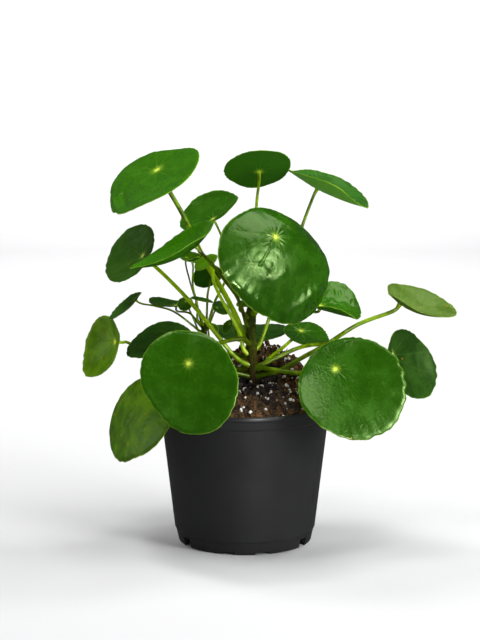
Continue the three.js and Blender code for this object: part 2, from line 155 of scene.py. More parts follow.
# Camera, in millimetres: level with the plant's middle and looking slightly down.
cameraView = {"looksAt": (-4.25, 0, 192.8), "distance": 1467, "pitch": 8.62, "lens": 95.6}


def makeCamera(view):
    data = bpy.data.cameras.new("camera")
    data.lens = view["lens"]
    data.clip_start = 0.05
    data.clip_end = 20
    pitch = math.radians(view["pitch"])
    camera = bpy.data.objects.new("camera", data)
    bpy.context.scene.collection.objects.link(camera)
    forward = Vector((0, math.cos(pitch), -math.sin(pitch)))
    camera.location = (Vector(view["looksAt"]) - forward * view["distance"]) * mm
    camera.rotation_euler = (math.pi / 2 - pitch, 0, 0)
    bpy.context.scene.camera = camera


makeCamera(cameraView)


# Studio: a pale sweep, a broad soft box above on the right and a small one on the left, a tall box
# on the right, a fill on the left, and three lamps for the back of the sweep. A lamp whose mirrored is
# False isn't seen in reflections. One whose shines is False doesn't light matte surfaces: the two
# sheen boxes and the strip only draw highlights. at and aim are in millimetres.
studio = {
    "floor": "dadadb", "roughness": 0.9, "specular": 0.2,
    "sweepWidth": 8000, "sweepFront": -2800, "sweepBack": 2300, "sweepBend": 500, "bendSteps": 16,
    "sweepHeight": 700, "world": "ffffff", "worldStrength": 0.06,
    "lights": [
        {"name": "broadBoxAbove", "at": (640, -220, 1530), "aim": (0, 0, 190), "size": (1000, 800),
         "power": 13},
        {"name": "smallBoxAbove", "at": (-650, -450, 1700), "aim": (-200, 0, 0), "size": (500, 500),
         "power": 8},
        {"name": "fillLeft", "at": (-1500, 150, 420), "aim": (0, 0, 120), "size": (600, 800),
         "power": 4.2},
        {"name": "tallBoxRight", "at": (1060, -840, 500), "aim": (0, 0, 230), "size": (400, 760),
         "power": 14, "mirrored": False},
        {"name": "sheenBoxRight", "at": (1060, -840, 540), "aim": (0, 0, 230), "size": (560, 900),
         "power": 17, "shines": False},
        {"name": "sheenCoreRight", "at": (1059, -839, 560), "aim": (0, 0, 230), "size": (180, 300),
         "power": 6, "shines": False},
        {"name": "stripFront", "at": (330, -1120, 110), "aim": (0, 0, 60), "size": (140, 300),
         "power": 18, "shines": False},
        {"name": "sweepLampLeft", "at": (-1000, 700, 1900), "aim": (-300, 1900, 200),
         "size": (900, 500), "power": 28, "mirrored": False},
        {"name": "sweepLampRight", "at": (1000, 700, 1900), "aim": (300, 1900, 200),
         "size": (900, 500), "power": 23, "mirrored": False},
        {"name": "wallLamp", "at": (0, 1700, 1500), "aim": (0, 2900, 300), "size": (1600, 400),
         "power": 20, "mirrored": False},
    ],
}


def makeStudio(look):
    # Painted cyclorama board: matte, with no grain to see at this distance.
    material, _, _ = newMaterial("paintedSweep", {
        "Base Color": linearColour(look["floor"]), "Roughness": look["roughness"],
        "Specular IOR Level": look["specular"]})
    bend, bendSteps = look["sweepBend"], look["bendSteps"]
    outline = [(look["sweepFront"], 0), (look["sweepBack"], 0)]
    for step in range(1, bendSteps + 1):
        angle = math.pi / 2 * step / bendSteps
        outline.append((look["sweepBack"] + bend * math.sin(angle), bend * (1 - math.cos(angle))))
    outline.append((look["sweepBack"] + bend, look["sweepHeight"]))
    half = look["sweepWidth"] / 2
    points = [(x, y, z) for y, z in outline for x in (-half, half)]
    faces = [(2 * i, 2 * i + 1, 2 * i + 3, 2 * i + 2) for i in range(len(outline) - 1)]
    sweep = newObject("studioSweep", points, faces, material=material)
    sweep.visible_glossy = False
    world = bpy.data.worlds.new("studioAir")
    world.use_nodes = True
    background = world.node_tree.nodes["Background"]
    background.inputs["Color"].default_value = linearColour(look["world"])
    background.inputs["Strength"].default_value = look["worldStrength"]
    bpy.context.scene.world = world
    for light in look["lights"]:
        data = bpy.data.lights.new(light["name"], "AREA")
        data.shape = "RECTANGLE"
        data.size, data.size_y = (side * mm for side in light["size"])
        data.energy = light["power"]
        lamp = bpy.data.objects.new(light["name"], data)
        lamp.location = Vector(light["at"]) * mm
        lamp.visible_camera = False
        lamp.visible_glossy = light.get("mirrored", True)
        lamp.visible_diffuse = light.get("shines", True)
        aim = Vector(light["aim"]) * mm - lamp.location
        lamp.rotation_euler = aim.to_track_quat("-Z", "Y").to_euler()
        bpy.context.scene.collection.objects.link(lamp)
    bpy.context.scene.view_settings.view_transform = "Standard"
    bpy.context.scene.view_settings.look = "None"


makeStudio(studio)
print("studio ready")


# Pot, in millimetres: an injection-moulded nursery pot with a collar, a rolled lip and a cut foot.
pot = {
    "height": 122.5, "rim": 76, "lip": 1.1, "collarBottom": 111, "collar": 73.9, "bodyTop": 72.9,
    "bodyFoot": 61.3, "stepHeight": 11.8, "step": 60.4, "foot": 58, "wall": 1.5,
    "floorUnder": 3, "floorTop": 5, "pad": 14, "sides": 192, "cornerSteps": 5, "sharpFrom": 38,
    "slot": {"width": 10, "height": 8, "angles": (-58, 58, 122, -122)},
    "notch": {"width": 13, "height": 2.3, "angles": (-15, 15, 165, -165)},
    "colour": "282829", "worn": "303031", "roughness": (0.3, 0.36),
}


def bodyRadius(z):
    share = (z - pot["stepHeight"]) / (pot["collarBottom"] - pot["stepHeight"])
    return pot["bodyFoot"] + share * (pot["bodyTop"] - pot["bodyFoot"])


def innerRadius(z):
    # the inner wall, which steps out with the collar
    if z < pot["collarBottom"]:
        return bodyRadius(z) - pot["wall"]
    share = (z - pot["collarBottom"]) / (pot["height"] - pot["collarBottom"])
    low = pot["collar"] - pot["wall"]
    return low + share * (pot["rim"] - pot["lip"] - pot["wall"] - low)


def roundedOutline(corners, steps):
    # each corner is (radius, height, rounding)
    outline = []
    for i, (r, z, rounding) in enumerate(corners):
        here = np.array((r, z), float)
        if not rounding or i in (0, len(corners) - 1):
            outline.append(here)
            continue
        before = np.array(corners[i - 1][:2], float) - here
        after = np.array(corners[i + 1][:2], float) - here
        cut = min(rounding, np.linalg.norm(before) * 0.45, np.linalg.norm(after) * 0.45)
        start = here + before / np.linalg.norm(before) * cut
        end = here + after / np.linalg.norm(after) * cut
        for step in range(steps + 1):
            t = step / steps
            outline.append((1 - t) ** 2 * start + 2 * t * (1 - t) * here + t * t * end)
    return outline


def potOutline():
    # from the middle of the underside out, up to the lip and down inside
    top, low, step, foot = pot["height"], pot["collarBottom"], pot["stepHeight"], pot["foot"]
    return roundedOutline([
        (0, 0, 0), (pot["pad"], 0, 0.4), (pot["pad"] + 1, pot["floorUnder"], 0.4),
        (foot - 2.5, pot["floorUnder"], 0.4), (foot - 2, 0, 0.3), (foot, 0, 0.5),
        (pot["step"], step - 1, 0.3), (pot["bodyFoot"], step, 0.5),
        (bodyRadius(low - 0.5), low - 0.5, 0.4), (pot["collar"], low + 0.3, 0.5),
        (pot["rim"] - pot["lip"], top - 4.5, 0.5), (pot["rim"], top - 3.6, 0.7),
        (pot["rim"], top - 0.6, 0.8), (pot["rim"] - 1, top, 0.8),
        (innerRadius(top) + 0.5, top, 0.5), (innerRadius(top), top - 0.8, 0.5),
        (innerRadius(low), low, 0.3), (innerRadius(low - 1.5), low - 1.5, 0.3),
        (innerRadius(step), step, 1), (foot - pot["wall"], pot["floorTop"] + 1, 0.8),
        (foot - pot["wall"] - 1, pot["floorTop"], 0.5), (0, pot["floorTop"], 0),
    ], pot["cornerSteps"])


def latheTree():
    # turns a profile, drawn as radius along X and height along Z, round the Z axis
    tree, given, result = newTree("latheProfile", [
        ("Profile", "Geometry"), ("Sides", "Int"), ("Material", "Material")])
    size = addNode(tree, "GeometryNodeAttributeDomainSize", {"Geometry": given["Profile"]},
                   component="MESH")
    around = addNode(tree, "ShaderNodeMath", {0: given["Sides"], 1: 1}, operation="ADD")
    grid = addNode(tree, "GeometryNodeMeshGrid", {
        "Size X": 1, "Size Y": 1, "Vertices X": around.outputs[0],
        "Vertices Y": size.outputs["Point Count"]})
    place = addNode(tree, "GeometryNodeInputPosition")
    split = addNode(tree, "ShaderNodeSeparateXYZ", {0: place.outputs[0]})
    turn = addNode(tree, "ShaderNodeMath", {0: split.outputs[0], 1: 0.5}, operation="ADD")
    angle = addNode(tree, "ShaderNodeMath", {0: turn.outputs[0], 1: math.tau}, operation="MULTIPLY")
    last = addNode(tree, "ShaderNodeMath", {0: size.outputs["Point Count"], 1: 1}, operation="SUBTRACT")
    along = addNode(tree, "ShaderNodeMath", {0: split.outputs[1], 1: 0.5}, operation="ADD")
    exact = addNode(tree, "ShaderNodeMath", {0: along.outputs[0], 1: last.outputs[0]}, operation="MULTIPLY")
    index = addNode(tree, "ShaderNodeMath", {0: exact.outputs[0]}, operation="ROUND")
    profile = addNode(tree, "GeometryNodeSampleIndex", {
        "Geometry": given["Profile"], "Value": place.outputs[0], "Index": index.outputs[0]},
        data_type="FLOAT_VECTOR", domain="POINT")
    point = addNode(tree, "ShaderNodeSeparateXYZ", {0: profile.outputs[0]})
    cosine = addNode(tree, "ShaderNodeMath", {0: angle.outputs[0]}, operation="COSINE")
    sine = addNode(tree, "ShaderNodeMath", {0: angle.outputs[0]}, operation="SINE")
    x = addNode(tree, "ShaderNodeMath", {0: point.outputs[0], 1: cosine.outputs[0]}, operation="MULTIPLY")
    y = addNode(tree, "ShaderNodeMath", {0: point.outputs[0], 1: sine.outputs[0]}, operation="MULTIPLY")
    where = addNode(tree, "ShaderNodeCombineXYZ", {0: x.outputs[0], 1: y.outputs[0], 2: point.outputs[2]})
    turned = addNode(tree, "GeometryNodeSetPosition", {
        "Geometry": grid.outputs["Mesh"], "Position": where.outputs[0]})
    closed = addNode(tree, "GeometryNodeMergeByDistance", {
        "Geometry": turned.outputs[0], "Distance": 1e-6})
    whole = addNode(tree, "GeometryNodeRealizeInstances", {0: closed.outputs[0]})
    dressed = addNode(tree, "GeometryNodeSetMaterial", {
        "Geometry": whole.outputs[0], "Material": given["Material"]})
    tree.links.new(dressed.outputs[0], result.inputs[0])
    return tree


def potMaterial():
    # Black polypropylene, injection moulded in a satin tool: near black, with soft wide highlights,
    # a very fine grain and the faint scuffs of handling.
    material, tree, shader = newMaterial("satinPolypropylene", {"IOR": 1.49, "Specular IOR Level": 0.2})
    # scuffed and clean areas are about 35 mm across
    place = addNode(tree, "ShaderNodeTexCoord").outputs["Object"]
    cloud = addNode(tree, "ShaderNodeTexNoise", {
        "Vector": place, "Scale": 28, "Detail": 4, "Roughness": 0.6})
    shade = addNode(tree, "ShaderNodeMix", {
        0: cloud.outputs["Fac"], 6: linearColour(pot["colour"]), 7: linearColour(pot["worn"])},
        data_type="RGBA")
    tree.links.new(shade.outputs[2], shader.inputs["Base Color"])
    low, high = pot["roughness"]
    rough = addNode(tree, "ShaderNodeMapRange", {
        "Value": cloud.outputs["Fac"], "From Min": 0.3, "From Max": 0.7, "To Min": low, "To Max": high})
    tree.links.new(rough.outputs[0], shader.inputs["Roughness"])
    # the tool's grain is about 0.1 mm and is drawn at 0.5 mm, or it wouldn't show
    grain = addNode(tree, "ShaderNodeTexNoise", {"Vector": place, "Scale": 2000, "Detail": 2})
    relief = addNode(tree, "ShaderNodeBump", {
        "Height": grain.outputs["Fac"], "Strength": 0.25, "Distance": 0.00006})
    tree.links.new(relief.outputs[0], shader.inputs["Normal"])
    return material


def footCutter(angle, width, height, material):
    # a block across the foot ring, at this angle from the front, that reaches out past the ring
    # and below it
    depth, past, below = 12, 5, 2
    centre = Vector((0, -(pot["foot"] - depth / 2 + past), (height - below) / 2))
    block = [centre + Vector((x * width / 2, y * depth / 2, z * (height + below) / 2))
             for z in (-1, 1) for y in (-1, 1) for x in (-1, 1)]
    turn = Matrix.Rotation(math.radians(angle), 3, "Z")
    faces = [(0, 2, 3, 1), (4, 5, 7, 6), (0, 1, 5, 4), (2, 6, 7, 3), (0, 4, 6, 2), (1, 3, 7, 5)]
    return newObject("footCutter", [tuple(turn @ corner) for corner in block], faces, material=material)


def makePot():
    outline = potOutline()
    points = [(r, 0, z) for r, z in outline]
    edges = [(i, i + 1) for i in range(len(points) - 1)]
    piece = newObject("nurseryPot", points, edges=edges)
    plastic = potMaterial()
    bake(piece, latheTree(), {"Sides": pot["sides"], "Material": plastic})
    cutters = [footCutter(angle, cut["width"], cut["height"], plastic)
               for cut in (pot["slot"], pot["notch"]) for angle in cut["angles"]]
    for cutter in cutters:
        modifier = piece.modifiers.new("footCut", "BOOLEAN")
        modifier.operation = "DIFFERENCE"
        modifier.solver = "EXACT"
        modifier.object = cutter
    bake(piece)
    for cutter in cutters:
        bpy.data.objects.remove(cutter)
    piece.data.shade_smooth()
    piece.data.set_sharp_from_angle(angle=math.radians(pot["sharpFrom"]))
    keepPiece(piece, "pot", "pot")


makePot()
print("pot turned and cut")


# Stems, in millimetres: the trunk with its old leaf scars, and the plantlet's shoot.
stems = {
    "trunk": {
        "radius": 4.3, "scarStep": 6.2, "scarDepth": 0.75, "sides": 48, "seed": 5,
        "points": [(7, -16, 124), (7, -16, 142), (6, -15, 169), (5, -14, 191), (6, -13, 208),
                   (8, -12, 218)],
    },
    "offset_stem": {
        "radius": 2.4, "scarStep": 3.6, "scarDepth": 0.5, "sides": 40, "seed": 11,
        "points": [(-34, 4, 136), (-34, 4, 150), (-35, 5, 176), (-36, 6, 190)],
    },
}
stemLook = {
    "cork": "4c3604", "olive": "3e4c02", "dark": "120a01", "roughness": 0.7,
    "specular": 0.06, "oliveFrom": 145, "oliveTo": 200, "rings": 170, "lump": 0.13, "lumpSize": 2.5,
    "footSwell": 0.35, "footReach": 12, "crown": 0.6, "scarTurn": 137.5,
    # how high, wide and deep the parts of a scar are, for a scarDepth of 1
    "shelf": (0.9, 0.8, 1), "dish": (1.0, 0.55, 0.55), "dishAbove": 1.5, "ridge": (0.6, 0.25),
}


def curvePoints(points, count):
    # a smooth curve through the points, whose steps follow the gaps between them
    given = [np.array(p, float) for p in points]
    given = [2 * given[0] - given[1]] + given + [2 * given[-1] - given[-2]]
    spans = len(given) - 3
    result = []
    for step in range(count):
        place = min(step / (count - 1) * spans, spans - 1e-9)
        span = int(place)
        t = place - span
        p0, p1, p2, p3 = given[span:span + 4]
        d0, d1, d2 = (math.sqrt(np.linalg.norm(b - a)) for a, b in ((p0, p1), (p1, p2), (p2, p3)))
        d1 = d1 or 1.0
        d0 = d0 or d1
        d2 = d2 or d1
        start = ((p1 - p0) / d0 - (p2 - p0) / (d0 + d1) + (p2 - p1) / d1) * d1
        end = ((p2 - p1) / d1 - (p3 - p1) / (d1 + d2) + (p3 - p2) / d2) * d1
        a = 2 * p1 - 2 * p2 + start + end
        b = -3 * p1 + 3 * p2 - 2 * start - end
        result.append(a * t ** 3 + b * t ** 2 + start * t + p1)
    return np.array(result)


def stemMaterial():
    # Young woody stem: thin brown cork split over an olive rind, dull, with darker cracks.
    material, tree, shader = newMaterial("corkyStem", {
        "Roughness": stemLook["roughness"], "IOR": 1.45, "Specular IOR Level": stemLook["specular"]})
    # cork and rind lie in patches about 4 mm across
    place = addNode(tree, "ShaderNodeTexCoord").outputs["Object"]
    height = addNode(tree, "ShaderNodeSeparateXYZ", {0: place})
    green = addNode(tree, "ShaderNodeMapRange", {
        "Value": height.outputs["Z"], "From Min": stemLook["oliveFrom"] * mm,
        "From Max": stemLook["oliveTo"] * mm})
    patch = addNode(tree, "ShaderNodeTexNoise", {
        "Vector": place, "Scale": 260, "Detail": 4, "Roughness": 0.65})
    blend = addNode(tree, "ShaderNodeMath", {0: green.outputs[0], 1: patch.outputs["Fac"]}, operation="ADD")
    edge = addNode(tree, "ShaderNodeMapRange", {
        "Value": blend.outputs[0], "From Min": 0.45, "From Max": 1.1})
    rind = addNode(tree, "ShaderNodeMix", {
        0: edge.outputs[0], 6: linearColour(stemLook["cork"]), 7: linearColour(stemLook["olive"])},
        data_type="RGBA")
    # cracks about 0.9 mm apart round the stem and 4.5 mm long
    stretch = addNode(tree, "ShaderNodeMapping", {"Vector": place, "Scale": (1, 1, 0.2)})
    crack = addNode(tree, "ShaderNodeTexNoise", {
        "Vector": stretch.outputs[0], "Scale": 1100, "Detail": 3, "Roughness": 0.7})
    line = addNode(tree, "ShaderNodeMapRange", {
        "Value": crack.outputs["Fac"], "From Min": 0.36, "From Max": 0.5, "To Min": 0.6, "To Max": 0.0})
    bark = addNode(tree, "ShaderNodeMix", {
        0: line.outputs[0], 6: rind.outputs[2], 7: linearColour(stemLook["dark"])}, data_type="RGBA")
    tree.links.new(bark.outputs[2], shader.inputs["Base Color"])
    relief = addNode(tree, "ShaderNodeBump", {
        "Height": crack.outputs["Fac"], "Strength": 0.6, "Distance": 0.0004})
    tree.links.new(relief.outputs[0], shader.inputs["Normal"])
    return material


def makeStem(name, stem, material):
    sides, radius = stem["sides"], stem["radius"]
    centre = curvePoints(stem["points"], stemLook["rings"])
    random = np.random.default_rng(stem["seed"])
    angle = np.arange(sides) / sides * math.tau
    height = centre[:, 2]
    scars = np.arange(height[0] + 3, height[-1] - 1, stem["scarStep"])
    x, z = np.meshgrid(radius * angle, height)
    size = radius + stemLook["lump"] * field(x, z, stemLook["lumpSize"], random)
    size = size + stemLook["footSwell"] * np.exp(-(z - height[0]) / stemLook["footReach"])
    # each scar is a shelf with a dish above it, on a low ridge right round
    shelfHigh, shelfWide, shelfDeep = stemLook["shelf"]
    dishHigh, dishWide, dishDeep = stemLook["dish"]
    ridgeHigh, ridgeDeep = stemLook["ridge"]
    for i, level in enumerate(scars):
        turn = i * math.radians(stemLook["scarTurn"])
        away = np.abs((angle[None, :] - turn + math.pi) % math.tau - math.pi)
        above = z - level - stemLook["dishAbove"]
        shelf = np.exp(-((z - level) / shelfHigh) ** 2) * np.exp(-(away / shelfWide) ** 2)
        dish = np.exp(-(above / dishHigh) ** 2) * np.exp(-(away / dishWide) ** 2)
        ridge = np.exp(-((z - level) / ridgeHigh) ** 2)
        size = size + stem["scarDepth"] * (shelfDeep * shelf - dishDeep * dish + ridgeDeep * ridge)
    rounded = stemLook["crown"] * radius
    crown = np.sqrt(np.clip((height[-1] - height) / rounded, 0, 1))
    size = size * np.where(height > height[-1] - rounded, np.maximum(crown, 0.02), 1)[:, None]
    ring = np.stack([np.cos(angle), np.sin(angle), 0 * angle], 1)
    points = (centre[:, None, :] + size[:, :, None] * ring[None]).reshape(-1, 3)
    count = len(centre)
    faces = [tuple(reversed(face)) for face in ringFaces(0, count, sides)]
    points = np.vstack([points, centre[:1], centre[-1:]])
    bottom, top = len(points) - 2, len(points) - 1
    last = (count - 1) * sides
    for i in range(sides):
        j = (i + 1) % sides
        faces.append((bottom, j, i))
        faces.append((top, last + i, last + j))
    piece = newObject("stem_" + name, points, faces, material=material)
    keepPiece(piece, "trunk", name)


stemBark = stemMaterial()
for stemName, stem in stems.items():
    makeStem(stemName, stem, stemBark)
print("stems grown")


# Soil, in millimetres: peat heaped above the rim, with crumbs, perlite and bits of fibre on it.
soil = {
    "edge": 118.5, "shoulder": 14, "heap": (16, 26, 55), "rise": 33, "hollow": (7, -21, 15), "depth": 9,
    "crumb": 0.9, "gap": 0.6, "sides": 240, "rings": 100, "lump": 1.5, "lumpSize": 3.4, "seed": 21,
    # stemShadow is painted shade: how far round the stem's foot the soil is darkened, and how dark
    "shades": (0.64, 0.78, 0.96), "stemShadow": {"near": 21, "far": 46, "shade": 0.06, "forward": 12},
}
# colours from dark to light, grains to the metre, and how deep the grain is in metres
soilFinishes = {
    # Sphagnum peat: dark brown, fibrous and crumbly, with no shine even when damp.
    "dampPeat": {
        "colours": ("040201", "2e1e0a", "946a34"), "roughness": 0.95, "grains": 900, "deep": 0.0012},
    # Expanded perlite: white puffed volcanic glass, pitted and chalky.
    "puffedPerlite": {
        "colours": ("e4e0d8", "f8f6f0", "ffffff"), "roughness": 0.8, "grains": 1500, "deep": 0.0003},
    # Bark and root fibre: pale tan shreds, dry and matte.
    "barkFibre": {
        "colours": ("4a2d14", "7a5128", "a8763c"), "roughness": 0.85, "grains": 1200, "deep": 0.0003},
}
soilBits = [
    {"name": "soilCrumbs", "material": "dampPeat", "density": 0.075, "small": 0.8, "large": 3.2,
     "stretch": (1, 0.85, 0.7), "rough": 0.35, "sink": 0.35, "seed": 4},
    {"name": "soilPerlite", "material": "puffedPerlite", "density": 0.019, "small": 0.9, "large": 2.4,
     "stretch": (1, 0.8, 0.7), "rough": 0.28, "sink": 0.1, "seed": 11},
    {"name": "soilFibres", "material": "barkFibre", "density": 0.006, "small": 1.2, "large": 3.2,
     "stretch": (1.6, 0.22, 0.16), "rough": 0.1, "sink": 0.0, "seed": 7},
]


def mound(x, y, place):
    # a smooth rise of height 1, whose place is its middle and its reach
    cx, cy, reach = place
    return np.exp(-((x - cx) ** 2 + (y - cy) ** 2) / reach ** 2)


def soilHeight(x, y):
    # heaped and hollowed, with coarse waves, and level where it meets the pot
    inside = 1 - (np.hypot(x, y) / innerRadius(soil["edge"])) ** 6
    heap = soil["shoulder"] + soil["rise"] * mound(x, y, soil["heap"])
    hollow = soil["depth"] * mound(x, y, soil["hollow"])
    waves = np.sin(x * 0.71 + 1.3 * np.sin(y * 0.33)) * np.cos(y * 0.62 + np.sin(x * 0.41))
    crumbs = soil["crumb"] * (waves + 0.5 * np.sin(x * 1.3 + y * 0.9))
    return soil["edge"] + np.maximum(inside, 0) * (heap - hollow + crumbs)


def soilMaterial(name, look):
    material, tree, shader = newMaterial(name, {
        "Roughness": look["roughness"], "Specular IOR Level": 0.25})
    dark, brown, light = (linearColour(colour) for colour in look["colours"])
    # clods about 8 mm across, and grains of the material's own size, 0.7 to 1.1 mm
    place = addNode(tree, "ShaderNodeTexCoord").outputs["Object"]
    broad, fine = (addNode(tree, "ShaderNodeTexNoise", {
        "Vector": place, "Scale": perMetre, "Detail": detail, "Roughness": rough})
        for perMetre, detail, rough in ((130, 3, 0.6), (look["grains"], 4, 0.7)))
    mixed = addNode(tree, "ShaderNodeMath", {
        0: broad.outputs["Fac"], 1: 0.6, 2: fine.outputs["Fac"]}, operation="MULTIPLY_ADD")
    ramp = addNode(tree, "ShaderNodeValToRGB", {"Fac": mixed.outputs[0]})
    elements = ramp.color_ramp.elements
    low, middle, high = soil["shades"]
    elements[0].position, elements[0].color = low, dark
    elements[1].position, elements[1].color = high, light
    elements.new(middle).color = brown
    # painted shade: the soil round the stem's foot and in front of it is darkened, where the leaves' shadow
    # falls on the hollow
    x, y, _ = stems["trunk"]["points"][0]
    stemShadow = soil["stemShadow"]
    centred = addNode(tree, "ShaderNodeVectorMath", {
        0: place, 1: (x * mm, (y - stemShadow["forward"]) * mm, soil["edge"] * mm)}, operation="SUBTRACT")
    away = addNode(tree, "ShaderNodeVectorMath", {0: centred.outputs[0]}, operation="LENGTH")
    unshaded = addNode(tree, "ShaderNodeMapRange", {
        "Value": away.outputs["Value"], "From Min": stemShadow["near"] * mm, "From Max": stemShadow["far"] * mm,
        "To Min": stemShadow["shade"], "To Max": 1.0}, interpolation_type="SMOOTHSTEP").outputs[0]
    shadedSoil = addNode(tree, "ShaderNodeMix", {0: unshaded, 6: dark, 7: ramp.outputs["Color"]}, data_type="RGBA")
    tree.links.new(shadedSoil.outputs[2], shader.inputs["Base Color"])
    relief = addNode(tree, "ShaderNodeBump", {
        "Height": fine.outputs["Fac"], "Strength": 0.9, "Distance": look["deep"]})
    tree.links.new(relief.outputs[0], shader.inputs["Normal"])
    return material


def scatterTree():
    # strews lumpy grains over the faces that look up
    tree, given, result = newTree("strewGrains", [
        ("Surface", "Geometry"), ("Density", "Float"), ("Smallest", "Float"), ("Largest", "Float"),
        ("Stretch", "Vector"), ("Roughness", "Float"), ("Sink", "Float"), ("Seed", "Int"),
        ("Material", "Material")])
    normal = addNode(tree, "GeometryNodeInputNormal")
    rise = addNode(tree, "ShaderNodeSeparateXYZ", {0: normal.outputs[0]})
    place = addNode(tree, "GeometryNodeInputPosition")
    level = addNode(tree, "ShaderNodeSeparateXYZ", {0: place.outputs[0]})
    facesUp = addNode(tree, "ShaderNodeMath", {0: rise.outputs[2], 1: 0.35}, operation="GREATER_THAN")
    onTop = addNode(tree, "ShaderNodeMath", {0: level.outputs[2], 1: soil["edge"] * mm},
                    operation="GREATER_THAN")
    chosen = addNode(tree, "ShaderNodeMath", {0: facesUp.outputs[0], 1: onTop.outputs[0]},
                     operation="MULTIPLY")
    points = addNode(tree, "GeometryNodeDistributePointsOnFaces", {
        "Mesh": given["Surface"], "Selection": chosen.outputs[0], "Density": given["Density"],
        "Seed": given["Seed"]})
    grain = addNode(tree, "GeometryNodeMeshIcoSphere", {"Radius": 1, "Subdivisions": 2})
    shaped = addNode(tree, "GeometryNodeTransform", {"Geometry": grain.outputs[0], "Scale": given["Stretch"]})
    turn = addNode(tree, "FunctionNodeRandomValue", {
        0: (0, 0, 0), 1: (math.tau, math.tau, math.tau), "Seed": given["Seed"]}, data_type="FLOAT_VECTOR")
    size = addNode(tree, "FunctionNodeRandomValue", {"Seed": given["Seed"]}, data_type="FLOAT")
    # the power makes small grains commoner than large ones
    skewed = addNode(tree, "ShaderNodeMath", {0: size.outputs[1], 1: 2.2}, operation="POWER")
    scale = addNode(tree, "ShaderNodeMapRange", {
        "Value": skewed.outputs[0], "To Min": given["Smallest"], "To Max": given["Largest"]})
    spread = addNode(tree, "GeometryNodeInstanceOnPoints", {
        "Points": points.outputs["Points"], "Instance": shaped.outputs[0],
        "Rotation": turn.outputs[0], "Scale": scale.outputs[0]})
    drop = addNode(tree, "ShaderNodeMath", {0: scale.outputs[0], 1: given["Sink"]}, operation="MULTIPLY")
    down = addNode(tree, "ShaderNodeMath", {0: drop.outputs[0], 1: -1}, operation="MULTIPLY")
    shift = addNode(tree, "ShaderNodeCombineXYZ", {2: down.outputs[0]})
    sunk = addNode(tree, "GeometryNodeTranslateInstances", {
        "Instances": spread.outputs[0], "Translation": shift.outputs[0], "Local Space": False})
    whole = addNode(tree, "GeometryNodeRealizeInstances", {0: sunk.outputs[0]})
    # grains are pushed about by a noise with lumps of 2 mm, so no two are alike
    lumps = addNode(tree, "ShaderNodeTexNoise", {"Vector": place.outputs[0], "Scale": 480, "Detail": 1})
    centred = addNode(tree, "ShaderNodeVectorMath", {
        0: lumps.outputs["Color"], 1: (0.5, 0.5, 0.5)}, operation="SUBTRACT")
    moved = addNode(tree, "ShaderNodeVectorMath", {
        0: centred.outputs[0], "Scale": given["Roughness"]}, operation="SCALE")
    rough = addNode(tree, "GeometryNodeSetPosition", {
        "Geometry": whole.outputs[0], "Offset": moved.outputs[0]})
    soft = addNode(tree, "GeometryNodeSetShadeSmooth", {"Geometry": rough.outputs[0]})
    dressed = addNode(tree, "GeometryNodeSetMaterial", {
        "Geometry": soft.outputs[0], "Material": given["Material"]})
    tree.links.new(dressed.outputs[0], result.inputs[0])
    return tree


def makeSoil():
    sides = soil["sides"]
    angle = np.arange(sides) / sides * math.tau
    edge = innerRadius(soil["edge"]) - soil["gap"]
    random = np.random.default_rng(soil["seed"])
    rings = []
    for ring in range(1, soil["rings"] + 1):
        r = edge * (ring / soil["rings"]) ** 0.85
        x, y = r * np.cos(angle), r * np.sin(angle)
        rings.append(np.stack([x, y, soilHeight(x, y)], 1))
    top = np.array(rings)
    lumps = field(top[..., 0], top[..., 1], soil["lumpSize"], random, 40)
    lumps = lumps + 0.6 * field(top[..., 0], top[..., 1], soil["lumpSize"] * 2.3, random, 30)
    fade = 1 - (np.hypot(top[..., 0], top[..., 1]) / edge) ** 12
    top[..., 2] += soil["lump"] * lumps * fade
    rings = list(top)
    # down inside the pot, to just above its floor
    floor = pot["floorTop"] + 0.3
    for level in (pot["collarBottom"], pot["collarBottom"] - 1.5, pot["stepHeight"],
                  pot["floorTop"] + 1.2, floor):
        wide = pot["foot"] - pot["wall"] - 1.2 if level < pot["stepHeight"] else innerRadius(level)
        r = wide - soil["gap"]
        rings.append(np.stack([r * np.cos(angle), r * np.sin(angle), 0 * angle + level], 1))
    points = np.vstack([[(0, 0, float(soilHeight(0.0, 0.0)))], *rings, [(0, 0, floor)]])
    faces = ringFaces(1, len(rings), sides)
    base, bottom = 1 + (len(rings) - 1) * sides, len(points) - 1
    for i in range(sides):
        j = (i + 1) % sides
        faces.append((0, 1 + i, 1 + j))
        faces.append((bottom, base + j, base + i))
    finishes = {name: soilMaterial(name, look) for name, look in soilFinishes.items()}
    piece = newObject("pottingSoil", points, faces, material=finishes["dampPeat"])
    keepPiece(piece, "soil", "soil")
    tree = scatterTree()
    for bits in soilBits:
        grains = newObject(bits["name"], points, faces)
        bake(grains, tree, {
            "Density": bits["density"] / mm ** 2, "Smallest": bits["small"] * mm,
            "Largest": bits["large"] * mm, "Stretch": bits["stretch"],
            "Roughness": bits["rough"] * 2 * mm, "Sink": bits["sink"], "Seed": bits["seed"],
            "Material": finishes[bits["material"]]})
        keepPiece(grains, "soil")
        print(bits["name"], len(grains.data.polygons), "faces")


makeSoil()
print("soil filled")
